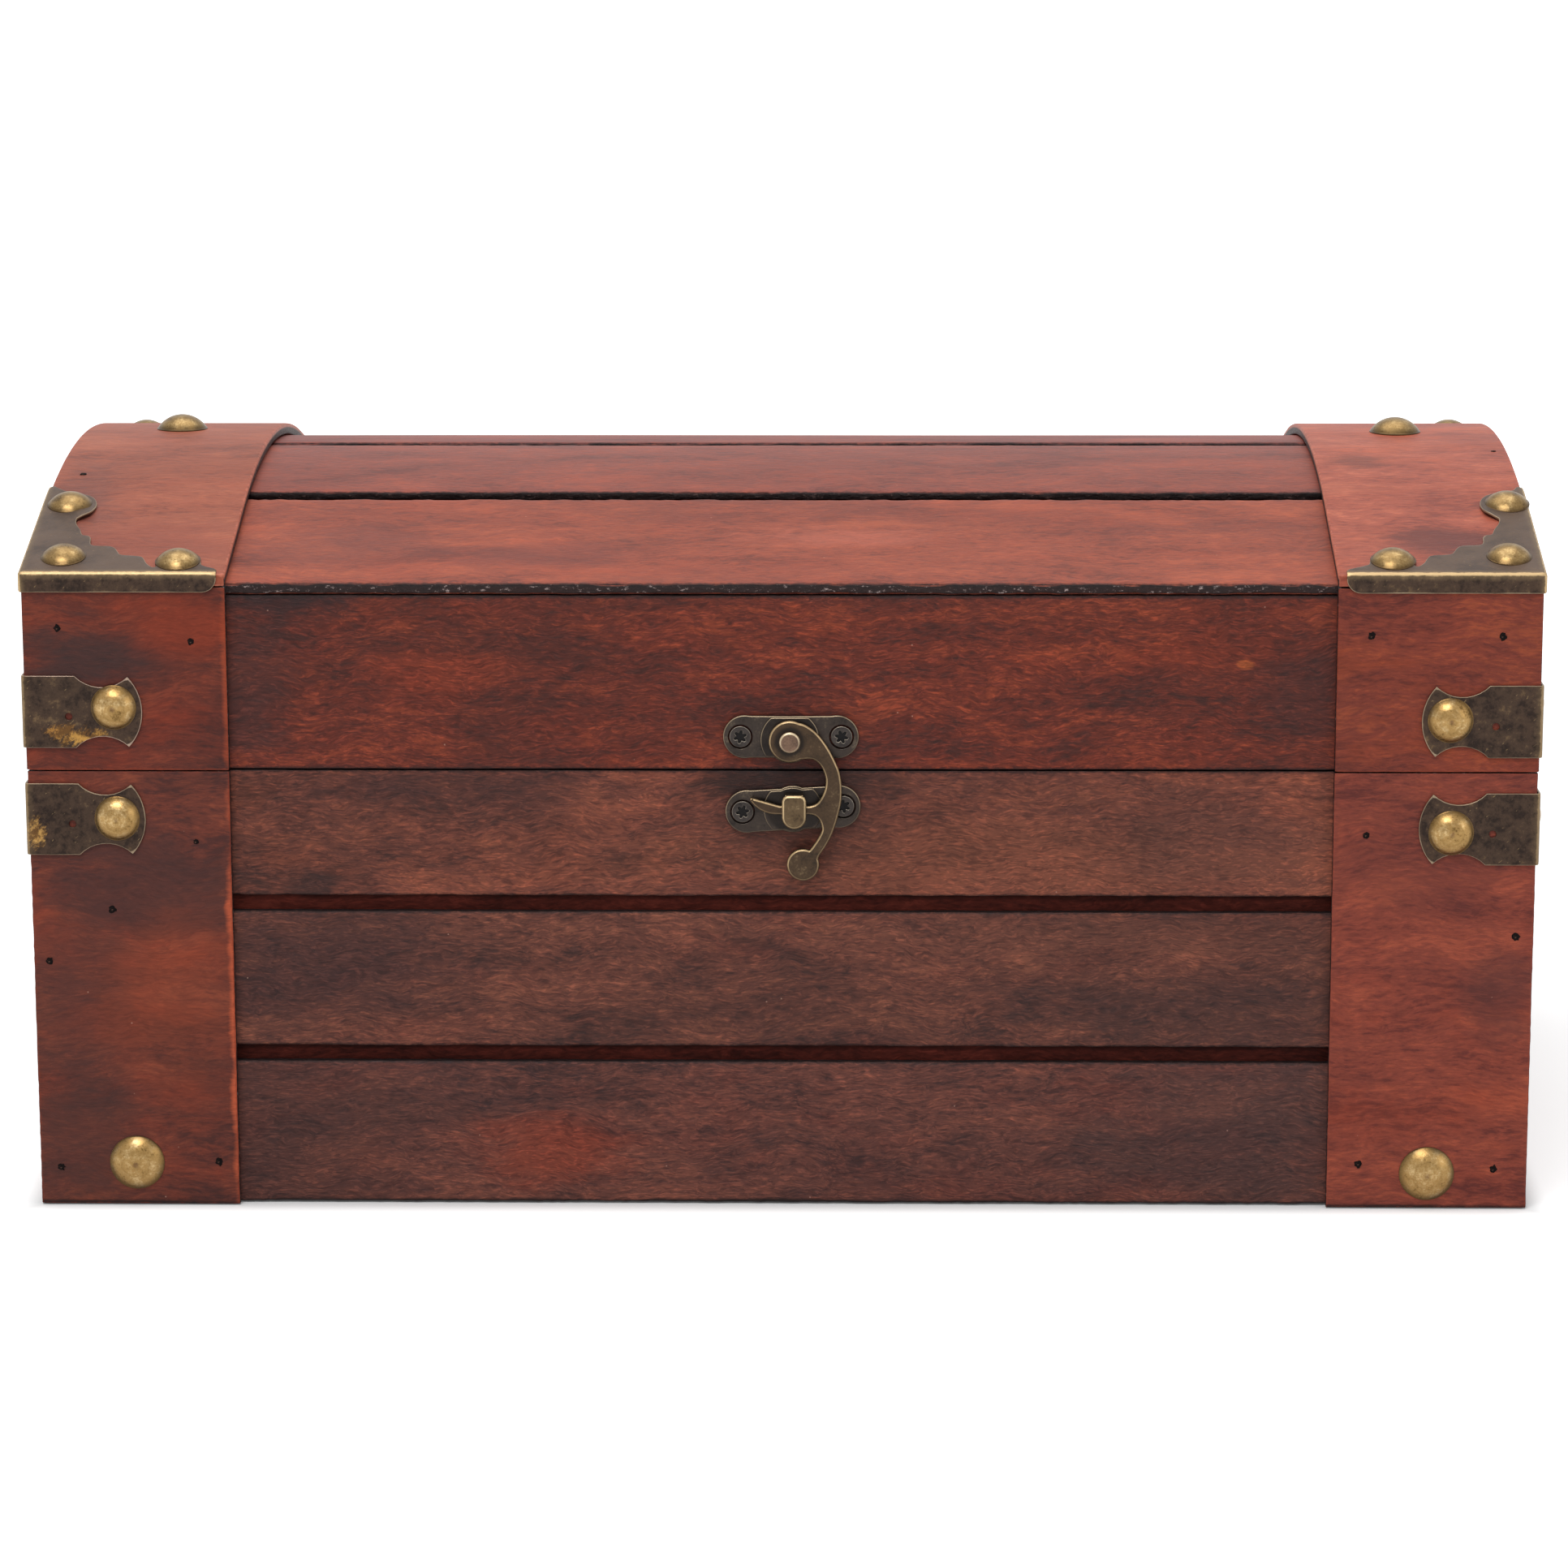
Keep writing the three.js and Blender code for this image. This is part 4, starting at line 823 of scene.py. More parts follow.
sheet_skin = {
    "left": sheet_metal("antique_sheet_left", 21),
    "right": sheet_metal("antique_sheet_right", 22),
    "lid_plate_left": sheet_metal("antique_plate_lid_left", 23, (176, 152, 134), 0.35, stains_and_shade(
        METAL_FACE,
        (-149.0, 102.0, 4.5, 1.8, (168, 120, 58), 0.95),
        (-144.6, 100.6, 5.2, 2.4, (176, 132, 66), 0.95))),
    "base_plate_left": sheet_metal("antique_plate_base_left", 24, (160, 140, 116), 0.35, stains_and_shade(
        METAL_FACE,
        (-155.6, 80.2, 2.6, 3.6, (176, 136, 76), 0.95))),
    "plate_right": sheet_metal("antique_plate_right", 25, (160, 140, 116), 0.35),
}
cast = {
    "latch_plate": cast_metal(
        "antique_latch_plate", 31, (36, 31, 28), (54, 46, 41), (148, 130, 106),
        # rings of painted shadow round the hook's pivot and the keeper's nose
        [(PIVOT_X, PIVOT_Z, 3.0, 6.6, 0.7), (2.8, 86.4, -1.0, 6.6, 0.7)]),
    "keeper": cast_metal("antique_keeper", 32, (60, 47, 33), (88, 71, 50), (200, 174, 132)),
    "hook": cast_metal(
        "antique_hook", 33, (46, 36, 27), (66, 51, 37), (176, 150, 112),
        # ring of painted shade round the rivet
        [(PIVOT_X, PIVOT_Z, 2.3, 3.6, 0.85)]),
    "screw": cast_metal("antique_screw", 34, (38, 34, 32), (58, 52, 49), (140, 130, 118)),
    # near-black: painted shade on the floor of the screw recesses
    "recess": cast_metal("recess_painted_shade", 35, (12, 11, 11), (22, 20, 20), (34, 31, 30)),
    "rivet": cast_metal("antique_rivet", 36, (80, 62, 52), (112, 88, 72), (206, 186, 154)),
    "hinge": cast_metal("antique_hinge", 37, (60, 49, 36), (92, 77, 54), (156, 132, 94)),
}
nail_iron = brad_iron()

# Boards of the base
LEVELS = (("lower", 0.0, 30.9), ("middle", 34.1, 63.3), ("upper", 66.5, BASE_HEIGHT + SEAM))
for level, low, high in LEVELS:
    for face, depth in FACES:
        corners = rect(depth * (WALL_FACE + GLUE), low, depth * PLANK_FACE, high, 0.45,
                       0.14 if level == "upper" else 0.45)
        board(f"{face}_board_{level}", "base", f"{face}_plank_{level}", corners,
              -BASE_HALF, BASE_HALF, plank_wood[level] if face == "front" else rear_wood, 0.45, 0.1)
for side, sign in SIDES:
    for face, depth in FACES:
        corners = rect(sign * BASE_HALF, depth * (PLANK_FACE + GLUE),
                       sign * (BASE_HALF - STRAP_WIDTH), depth * STRAP_FACE, 0.35)
        board(f"{face}_strap_{side}", "base", f"base_{face}_strap_{side}", corners,
              0.0, BASE_HEIGHT + SEAM, strap_wood[f"base_{side}" if face == "front" else "rear"],
              0.22, 0.12, axis="Z", ends=0.14)
    low, high = sorted((sign * BASE_HALF, sign * (BASE_HALF - END_THICK)))
    board(f"end_board_{side}", "base", f"base_{side}_end",
          rect(-WALL_FACE, 0.0, WALL_FACE, BASE_HEIGHT, 0.4), low, high, end_wood, 0.3, field=True)

# Boards of the lid
for face, depth in FACES:
    inner = WALL_FACE + GLUE
    corners = [
        (depth * inner, LID_BOTTOM - SEAM, 0.14), (depth * PLANK_FACE, LID_BOTTOM - SEAM, 0.14),
        (depth * PLANK_FACE, dome_height(PANEL_R, PLANK_FACE), 0.3),
        (depth * inner, dome_height(PANEL_R, inner), 0.3),
    ]
    board(f"{face}_rail", "lid", f"lid_{face}_plank", corners, -LID_HALF, LID_HALF,
          rail_wood if face == "front" else rear_wood, 0.4, 0.1)
    for side, sign in SIDES:
        inner = PLANK_FACE + GLUE
        corners = [
            (depth * inner, LID_BOTTOM - SEAM, 0.14), (depth * STRAP_FACE, LID_BOTTOM - SEAM, 0.14),
            (depth * STRAP_FACE, dome_height(SLAT_R, STRAP_FACE), 0.25),
            (depth * inner, dome_height(SLAT_R, inner), 0.25),
        ]
        low, high = sorted((sign * LID_HALF, sign * (LID_HALF - STRAP_WIDTH)))
        board(f"rail_strap_{face}_{side}", "lid", f"lid_{face}_strap_{side}", corners,
              low, high, strap_wood[f"lid_{side}" if face == "front" else "rear"], 0.3, 0.12)

slat_edge = dome_angle(PLANK_FACE, SLAT_R)
outer_slat, groove = OUTER_SLAT / DOME_R, SLAT_GROOVE / DOME_R
slats = (
    ("front", at_y(-PLANK_FACE), at_angle(-slat_edge + outer_slat), "front"),
    ("upper_front", at_angle(-slat_edge + outer_slat + groove), at_angle(-groove / 2), "upper"),
    ("upper_back", at_angle(groove / 2), at_angle(slat_edge - outer_slat - groove), "rear"),
    ("back", at_angle(slat_edge - outer_slat), at_y(PLANK_FACE), "rear"),
)
for place, start, end, tint in slats:
    board(f"roof_slat_{place}", "lid", f"dome_slat_{place}",
          band(PANEL_R + GLUE, SLAT_R, start, end, 0.45), -LID_HALF, LID_HALF, slat_wood[tint], 0.55, 0.1)
frame_edge = dome_angle(WALL_FACE, FRAME_R)
frame_top = [(*p, 0.0) for p in dome_arc(FRAME_R, -frame_edge, frame_edge)]
for side, sign in SIDES:
    low, high = sorted((sign * LID_HALF, sign * (LID_HALF - STRAP_WIDTH)))
    bent = board(f"roof_strap_{side}", "lid", f"dome_strap_{side}",
                 band(SLAT_R + GLUE, DOME_R, at_y(-STRAP_FACE), at_y(STRAP_FACE), 0.35),
                 low, high, dome_wood[side], 0.2, 0.1)
    places = [v.co / MM for v in bent.data.vertices]
    set_values(bent.data, "below", [dome_height(DOME_R, place.y) - place.z for place in places])
    low, high = sorted((sign * LID_HALF, sign * (LID_HALF - END_THICK)))
    corners = [(WALL_FACE, LID_BOTTOM, 0.4), (-WALL_FACE, LID_BOTTOM, 0.4)] + frame_top
    board(f"lid_end_board_{side}", "lid", f"lid_{side}_end", corners, low, high,
          end_wood, 0.3, field=True)
board("roof_panel", "lid", "dome_panel",
      band(FRAME_R + GLUE, PANEL_R, at_y(-WALL_FACE), at_y(WALL_FACE), 0.3),
      -LID_HALF, LID_HALF, floor_wood, 0.1, 0.05, station=4.0)

# Carcass pieces that stay as the CAD has them
for node in ("bottom_board", "base_front_wall", "base_back_wall", "lid_front_wall", "lid_back_wall"):
    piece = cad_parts[node]
    weld = piece.modifiers.new("weld", "WELD")
    weld.merge_threshold = 0.00001
    soft_edges(piece, "soft", 0.3, 50)
    piece.data.materials.clear()
    piece.data.materials.append(floor_wood if node == "base_front_wall" else inner_wood)
    set_values(piece.data, "arris", np.full(len(piece.data.vertices), 9.0))


# Flat outlines
def inside(point, outline):
    x, y = point
    found = False
    for (ax, ay), (bx, by) in zip(outline, outline[1:] + outline[:1]):
        if (ay > y) != (by > y) and x < (bx - ax) * (y - ay) / (by - ay) + ax:
            found = not found
    return found


def outline_gap(points, outline):
    """Distance of each point to an outline."""
    a = np.array(outline)
    d = (np.roll(a, -1, 0) - a)[None]
    p = np.array(points)[:, None]
    share = np.clip(((p - a[None]) * d).sum(2) / np.maximum((d * d).sum(2), 1e-12), 0, 1)
    return np.linalg.norm(p - (a[None] + share[..., None] * d), axis=2).min(1)


def refined(outline, step):
    result = []
    for p, q in zip(outline, outline[1:] + outline[:1]):
        count = max(1, math.ceil(math.dist(p, q) / step))
        result += [(p[0] + (q[0] - p[0]) * k / count, p[1] + (q[1] - p[1]) * k / count) for k in range(count)]
    return result


def arc_points(x, z, radius, start, end, count=16):
    return [(x + radius * math.cos(start + (end - start) * k / count),
             z + radius * math.sin(start + (end - start) * k / count)) for k in range(count + 1)]


def circle(x, z, radius, count=14):
    return [(x + radius * math.cos(a), z + radius * math.sin(a)) for a in turns(count)]


def arc_through(a, b, c, steps):
    """Points on the arc from a through b to c, without a."""
    d = 2 * (a[0] * (b[1] - c[1]) + b[0] * (c[1] - a[1]) + c[0] * (a[1] - b[1]))
    aa, bb, cc = (p[0] ** 2 + p[1] ** 2 for p in (a, b, c))
    x = (aa * (b[1] - c[1]) + bb * (c[1] - a[1]) + cc * (a[1] - b[1])) / d
    y = (aa * (c[0] - b[0]) + bb * (a[0] - c[0]) + cc * (b[0] - a[0])) / d
    at_a, at_b, at_c = (math.atan2(p[1] - y, p[0] - x) for p in (a, b, c))
    sweep = math.remainder(at_b - at_a, math.tau) + math.remainder(at_c - at_b, math.tau)
    return arc_points(x, y, math.dist((x, y), a), at_a, at_a + sweep, steps)[1:]


def smooth_open(points, parts):
    """A smooth line through the points."""
    result = []
    last = len(points) - 1
    for k in range(last):
        four = [points[min(max(k + d, 0), last)] for d in (-1, 0, 1, 2)]
        for t in (part / parts for part in range(parts)):
            result.append(tuple(
                0.5 * (2 * b + (c - a) * t + (2 * a - 5 * b + 4 * c - d) * t * t
                       + (3 * b - a - 3 * c + d) * t ** 3) for a, b, c, d in zip(*four)))
    return result + [points[-1]]


def turned(points, angle, x, z):
    c, s = math.cos(angle), math.sin(angle)
    return [(x + px * c - pz * s, z + px * s + pz * c) for px, pz in points]


def triangles(loops, extra=()):
    """Places and triangles between closed lines and single points, each with its middle."""
    points, edges = [], []
    for loop in loops:
        first = len(points)
        points += loop
        edges += [(first + k, first + (k + 1) % len(loop)) for k in range(len(loop))]
    points += extra
    made = delaunay_2d_cdt([Vector(p) for p in points], edges, [], 0, 1e-5)
    places = [tuple(p) for p in made[0]]
    return places, [(f, tuple(sum(places[i][k] for i in f) / 3 for k in (0, 1))) for f in made[2]]


def filled(outline, holes, extra, clear=0.3):
    """Triangles over a pattern: (points, triangles)."""
    loops = [outline] + holes
    extra = [p for p in extra if inside(p, outline)]
    gaps = np.min([outline_gap(extra, loop) for loop in loops], axis=0)
    places, found = triangles(loops, [p for p, gap in zip(extra, gaps) if gap > clear])
    return places, [tuple(f) for f, middle in found
                    if inside(middle, outline) and not any(inside(middle, hole) for hole in holes)]


def merged(shapes):
    """The outline of several overlapping shapes together."""
    places, found = triangles(shapes)
    directed = {}
    for f, middle in found:
        if any(inside(middle, shape) for shape in shapes):
            directed.update(dict.fromkeys(zip(f, [*f[1:], f[0]])))
    border = {a: b for a, b in directed if (b, a) not in directed}
    loops = []
    while border:
        start, here = border.popitem()
        loop = [start]
        while here != start:
            loop.append(here)
            here = border.pop(here)
        loops.append([places[k] for k in loop])
    return max(loops, key=len)


# Sheet metal: a flat pattern, filled with triangles and laid into place with round folds
SHEET = 0.5
SHEET_RISE = 0.6
FOLD_R = 1.0
FOLD_ROWS = (0.0, 0.22, 0.45, 0.7, 1.0, 1.3)


def laid_sheet(name, patterns, body, node, material, mirror):
    """patterns: (points, triangles, place, free rim, distance to the fold) of each flat part."""
    work = bmesh.new()
    rim_layer = work.verts.layers.float.new("rim")
    fold_layer = work.verts.layers.float.new("fold")
    for places, faces, lay, rim, fold in patterns:
        made = []
        for p, gap in zip(places, outline_gap(places, rim)):
            x, y, z = lay(*p)
            vert = work.verts.new((x * mirror[0] * MM, y * mirror[1] * MM, z * MM))
            vert[rim_layer] = gap
            vert[fold_layer] = fold(*p)
            made.append(vert)
        for f in faces:
            work.faces.new([made[i] for i in f])
    bmesh.ops.remove_doubles(work, verts=work.verts, dist=0.00002)
    bmesh.ops.recalc_face_normals(work, faces=work.faces)
    flat = max(work.faces, key=lambda f: abs(f.normal.y))
    if flat.normal.y * mirror[1] >= 0:
        bmesh.ops.reverse_faces(work, faces=work.faces)
    mesh = as_mesh(name, work)
    mesh.shade_smooth()
    obj = new_object(name, mesh, body, material, node)
    solid = obj.modifiers.new("thickness", "SOLIDIFY")
    solid.thickness = SHEET * MM
    solid.offset = -1
    solid.use_even_offset = True
    soft_edges(obj, "edge", 0.13, 55)


# Tacks, one turned mesh for each kind
def tack_mesh(kind, radius, height, seed, rings, dimple, tones):
    """rings: strength of the turning marks in the brass; dimple: depth of the ring and hole."""
    sphere = (radius ** 2 + height ** 2) / (2 * height)
    profile = [(radius - 0.15, -0.4), (radius + 0.02, -0.3), (radius + 0.04, 0.0), (radius + 0.02, 0.12)]
    steps = 22
    for k in range(steps + 1):
        r = radius * (1 - k / steps) * 0.995
        z = height - (sphere - math.sqrt(sphere ** 2 - r ** 2)) + 0.03
        z += dimple * (0.05 * math.exp(-(((r - 0.95) / 0.16) ** 2)) - 0.22 * math.exp(-((r / 0.42) ** 2)))
        z += dimple * 0.008 * math.cos(r * 4.4)
        profile.append((r, max(z, 0.13) if k == 0 else z))
    around = [[(r * math.cos(a), r * math.sin(a), z) for a in turns(56)] for r, z in profile[:-1]]
    brass = tack_brass(f"antique_tack_{kind}", seed, radius, rings, tones)
    mesh = domed(f"tack_{kind}", around, profile[-1][1], brass, True)
    mesh.set_sharp_from_angle(angle=math.radians(60))
    return mesh


tacks = {
    kind: tack_mesh(kind, *sizes) for kind, sizes in {
        "plain": (4.7, 2.4, 41, 0.0, 0.0, WARM_BRASS),
        "turned": (4.7, 2.4, 43, 0.3, 1.0, PALE_BRASS),
        "foot": (5.75, 2.4, 44, 0.2, 0.7, PALE_BRASS),
        "top": (5.6, 3.2, 45, 0.0, 0.0, WARM_BRASS),
    }.items()
}


def tack(name, kind, place, normal, body):
    new_object(name, tacks[kind], body, matrix=standing(place, normal))


# L-shaped plates, folded round the vertical corners, with a tack on each leg
PLATE_HIGH = 7.6
PLATE_HOLE = (9.8, -1.0)


def plate_pattern():
    """Outline, points and triangles of the flat plate, with its fold at 0."""
    straight, waist, tip = (11.2, PLATE_HIGH), (16.8, PLATE_HIGH - 2.4), (22.2, PLATE_HIGH - 0.2)
    leg = [straight] + arc_through(straight, waist, tip, 9)
    quarter = leg + arc_through(tip, (25.1, 0.0), (tip[0], -tip[1]), 14)[:-1]
    quarter += [(x, -z) for x, z in reversed(leg)]
    outline = refined(quarter + [(-x, z) for x, z in reversed(quarter)], 0.9)
    x, z = PLATE_HOLE
    holes = [circle(x, z, 0.75), circle(-x, z, 0.75)]
    extra = [(s * sign, z) for s in FOLD_ROWS for sign in (1, -1) for z in np.arange(-7, 7.1, 1.0)]
    extra += [(s + 0.7 * (k % 2), z) for k, z in enumerate(np.arange(-7, 7.1, 1.4))
              for s in np.arange(-24, 24.1, 1.4) if abs(s) > 2]
    return outline, *filled(outline, holes, extra)


plate_outline, plate_places, plate_faces = plate_pattern()


def l_plate(name, body, node, outer_x, outer_y, centre_z, mirror, material):
    def lay(s, z):
        sharp = Vector((-outer_x + max(s, 0), -outer_y + max(-s, 0)))
        core = Vector((max(sharp.x, -outer_x + FOLD_R), max(sharp.y, -outer_y + FOLD_R)))
        away = (sharp - core).normalized()
        hole = min(math.dist((abs(s), z), PLATE_HOLE), 3.0)
        place = core + away * FOLD_R - away * 0.18 * math.exp(-((hole / 1.3) ** 2))
        return place.x, place.y, z + centre_z

    pattern = (plate_places, plate_faces, lay, plate_outline, lambda s, z: abs(s) * 0.8)
    laid_sheet(name, [pattern], body, node, material, mirror)


# Height of a plate, rise of its tacks over the middle, distance of the tacks from the corner
PLATES = {
    ("base", "left"): (BASE_HEIGHT * 0.893, 0.243, 19.2),
    ("base", "right"): (BASE_HEIGHT * 0.875, -0.699, 18.43),
    ("lid", "left"): (LID_BOTTOM + WALL_HEIGHT * 0.3, 1.003, 19.2),
    ("lid", "right"): (LID_BOTTOM + WALL_HEIGHT * 0.258, 0.35, 19.2),
}
for (side, sx), (face, sy), (body, half) in itertools.product(
        SIDES, FACES, (("base", BASE_HALF), ("lid", LID_HALF))):
    z, rise, reach = PLATES[body, side]
    x, y = half + SHEET_RISE, STRAP_FACE + SHEET_RISE
    skin = sheet_skin[f"{body}_plate_left" if side == "left" else "plate_right"]
    l_plate(f"{body}_l_plate_{face}_{side}", body, f"{body}_corner_plate_{face}_{side}",
            x, y, z, (-sx, -sy), skin)
    on_face = (sx * (x - reach), sy * y, z + rise)
    on_end = (sx * x, sy * (y - reach), z + rise)
    tack(f"{body}_tack_{face}_{side}", "turned", on_face, (0, sy, 0), body)
    tack(f"{body}_tack_end_{face}_{side}", "turned", on_end, (sx, 0, 0), body)

# Corner brackets: outline and tacks as shares of the two legs, as in the CAD
LEG_X, LEG_Y, LIP, LIP_ROUND = 41.1, 44.0, 4.2, 3
BRACKET_TACKS = ((0.19, 0.185), (0.776, 0.136), (0.13, 0.789))
BRACKET_SHIFT = {"left": (0.018, -0.008), "right": (-0.018, 0.008)}
FRONT_END = [(1, 0), (1, 0.032), (0.985, 0.048)]
STEPPED_EDGE = [
    (0.939, 0.07), (0.9, 0.095), (0.891, 0.136), (0.859, 0.214), (0.776, 0.245), (0.693, 0.214),
    (0.662, 0.141), (0.674, 0.086), (0.657, 0.068), (0.623, 0.107), (0.599, 0.164), (0.574, 0.189),
    (0.484, 0.201), (0.46, 0.232), (0.443, 0.268), (0.411, 0.298), (0.328, 0.309), (0.304, 0.336),
    (0.297, 0.395), (0.28, 0.42), (0.248, 0.434), (0.229, 0.491), (0.202, 0.55), (0.192, 0.607),
    (0.212, 0.63), (0.248, 0.666), (0.265, 0.72), (0.27, 0.789), (0.243, 0.864), (0.185, 0.909),
    (0.119, 0.925), (0.078, 0.948),
]
SIDE_END = [(0.046, 0.985), (0.032, 1), (0, 1)]
fold_rows = [d for d in FOLD_ROWS if d > 0]
lip_rows = fold_rows + [1.9, 2.6, 3.3]


def along_leg(leg, count):
    """Places along a leg, closer to each other at the corner's fold."""
    even = [leg * k / count for k in range(count)]
    return sorted(fold_rows + [p for p in even if p > 1.8 or p == 0])


def lip_pattern(leg, along):
    """Outline, inner points and free edge of a lip: distance along it, and drop below 0."""
    outline = [(p, 0.0) for p in reversed(along + [leg])] + [(0.0, -d) for d in lip_rows]
    outline += [(p, -LIP) for p in along if p < leg - LIP_ROUND]
    outline += [(leg - LIP_ROUND + LIP_ROUND * math.sin(a), -LIP + LIP_ROUND - LIP_ROUND * math.cos(a))
                for a in (math.pi / 2 * k / 7 for k in range(8))]
    free = [(p, q) for p, q in outline if q < -LIP + 3.05 and p > 0.01]
    return outline, [(p, -d) for d in lip_rows for p in along if p > 0], free


def bracket(name, side, mirror, node, material):
    """A sheet on the corner of the dome, with a lip down the front and one down the end."""
    outer_x, outer_y = LID_HALF + SHEET_RISE, STRAP_FACE + SHEET_RISE
    outer_r = DOME_R + SHEET_RISE
    first = -dome_angle(outer_y, outer_r)
    edge_z = dome_height(outer_r, outer_y)
    shift_u, shift_v = BRACKET_SHIFT[side]
    along_front, along_side = along_leg(LEG_X, 30), along_leg(LEG_Y, 32)
    top = [(p, 0.0) for p in along_front] + [(LEG_X * u, LEG_Y * v) for u, v in FRONT_END]
    top += smooth_open([((u + shift_u) * LEG_X, (v + shift_v) * LEG_Y) for u, v in STEPPED_EDGE], 3)
    top += [(LEG_X * u, LEG_Y * v) for u, v in SIDE_END]
    top += [(0.0, q) for q in reversed(along_side) if q > 0]
    extra = [(p, q) for q in fold_rows for p in along_front if p > 0]
    extra += [(p, q) for p in fold_rows for q in along_side if q > 0]
    extra += [(p + 0.8 * (k % 2), q) for k, q in enumerate(np.arange(2.2, LEG_Y, 1.5))
              for p in np.arange(2.2, LEG_X, 1.5)]
    front_lip = lip_pattern(LEG_X, along_front)
    end_lip = [[(q, p) for p, q in line] for line in lip_pattern(LEG_Y, along_side)]
    steep = Vector((-math.sin(FLANK), math.cos(FLANK)))
    apex = Vector((-outer_y + FOLD_R, edge_z + (FOLD_R * math.tan(FLANK)) - FOLD_R / math.cos(FLANK)))
    ear = Vector((LEG_X * 0.235, LEG_Y * 0.66))

    def lay(p, q):
        """p runs from the end, q from the front; negative ones run down a lip."""
        angle = first + max(q, 0) / DOME_R
        y, z = dome_point(outer_r, angle)
        normal = dome_normal(angle)
        up = Vector((normal.y, normal.z))
        if q < 0:
            sharp, over, behind = Vector((-outer_y, edge_z + q)), -q * math.cos(FLANK), 0.0
        elif p < 0:
            sharp, over, behind = Vector((y, z + p)), -p * up.y, y + outer_y
        else:
            sharp, over, behind = Vector((y, z)), 0.0, y + outer_y
        core = sharp
        if over < FOLD_R or behind < FOLD_R:
            core = sharp - up * max(FOLD_R - over, 0)
            if core.x + outer_y < FOLD_R:
                core = Vector((-outer_y + FOLD_R, sharp.y))
                if over <= 0 or (core - apex).dot(steep) > 0:
                    core = apex
        x = -outer_x + max(p, 0)
        core3 = Vector((max(x, -outer_x + FOLD_R), *core))
        place = core3 + (Vector((x, *sharp)) - core3).normalized() * FOLD_R
        if p > 0 and q > 0:
            lift = 0.55 * math.exp(-(((Vector((p, q)) - ear).length / 2.2) ** 2))
            lift += 0.12 * math.sin(p * 0.31 + q * 0.17) * min(p, q, 6) / 6
            place += normal * max(lift, 0)
        return place.x, place.y, place.z

    free_top = [(p, q) for p, q in top if p > 0.01 and q > 0.01]
    patterns = []
    for outline, inner, free in ((top, extra, free_top), front_lip, end_lip):
        places, faces = filled(outline, [], inner, 0.12)
        patterns.append((places, faces, lay, free + free[::-1], lambda p, q: min(abs(p), abs(q))))
    laid_sheet(name, patterns, "lid", node, material, mirror)
    for k, (u, v) in enumerate(BRACKET_TACKS):
        angle = first + (v + shift_v) * LEG_Y / DOME_R
        y, z = dome_point(outer_r, angle)
        normal = dome_normal(angle)
        tack(f"{name}_tack_{k}", "plain",
             (mirror[0] * (-outer_x + (u + shift_u) * LEG_X), mirror[1] * y, z),
             (0, mirror[1] * normal.y, normal.z), "lid")


for side, sx in SIDES:
    for face, sy in FACES:
        bracket(f"corner_sheet_{face}_{side}", side, (-sx, -sy), f"corner_bracket_{face}_{side}",
                sheet_skin[side])

# Large tacks on the straps: place on the strap as a share of its width, and height or depth
for side, sx, inset, rise in (("left", -1, 0.487, 0.0975), ("right", 1, 0.501, 0.08)):
    for face, sy in FACES:
        x = sx * (BASE_HALF - STRAP_WIDTH * inset)
        tack(f"foot_tack_{face}_{side}", "foot", (x, sy * STRAP_FACE, BASE_HEIGHT * rise), (0, sy, 0), "base")
for side, sx, inset, back in (("left", -1, 0.5, 0.028), ("right", 1, 0.526, 0.0)):
    angle = dome_angle(DEPTH * back, DOME_R)
    place = (sx * (LID_HALF - STRAP_WIDTH * inset), *dome_point(DOME_R, angle))
    tack(f"top_tack_{side}", "top", place, dome_normal(angle), "lid")

# The latch: depths of its layers towards the front
PLATE_BACK, PLATE_FRONT, STEP_FRONT = 88.1, 89.0, 89.4
HOOK_BACK, HOOK_FRONT = 89.75, 91.35
NOSE_BACK, NOSE_FRONT = HOOK_FRONT + 0.3, HOOK_FRONT + 1.8
LATCH_LONG, LATCH_WIDE, BOSS_R, STEP_R = 28.2, 9.1, 4.95, 6.1
SCREW_REACH, SCREW_R, SCREW_HOLE_R = 10.5, 2.25, 2.5
LATCH_X, LATCH_Z = PIVOT_X + 0.2, PIVOT_Z + 0.6
KEEP_X, KEEP_Z, TILT = PIVOT_X + 0.6, PIVOT_Z - 14.7, math.radians(3.3)


def casting(name, outlines, back, front, bevel, segments=3):
    """Mesh between two depths from outlines in (x, z), with round bevels."""
    curve = bpy.data.curves.new(name, "CURVE")
    curve.dimensions = "2D"
    curve.fill_mode = "BOTH"
    curve.extrude = ((front - back) / 2 - bevel) * MM
    curve.bevel_depth = bevel * MM
    curve.bevel_resolution = segments
    curve.offset = -bevel * MM
    for points in outlines:
        spline = curve.splines.new("POLY")
        spline.points.add(len(points) - 1)
        for point, (x, z) in zip(spline.points, points):
            point.co = (x * MM, z * MM, 0, 1)
        spline.use_cyclic_u = True
    raw = linked(name + "_curve", curve)
    bpy.context.view_layer.update()
    mesh = bpy.data.meshes.new_from_object(raw.evaluated_get(bpy.context.evaluated_depsgraph_get()))
    bpy.data.objects.remove(raw)
    mesh.name = name
    upright = Matrix.Rotation(math.pi / 2, 4, "X")
    mesh.transform(Matrix.Translation((0, -(back + front) / 2 * MM, 0)) @ upright)
    work = bmesh.new()
    work.from_mesh(mesh)
    bmesh.ops.remove_doubles(work, verts=work.verts, dist=0.000002)
    work.to_mesh(mesh)
    work.free()
    smooth(mesh, 40)
    return mesh


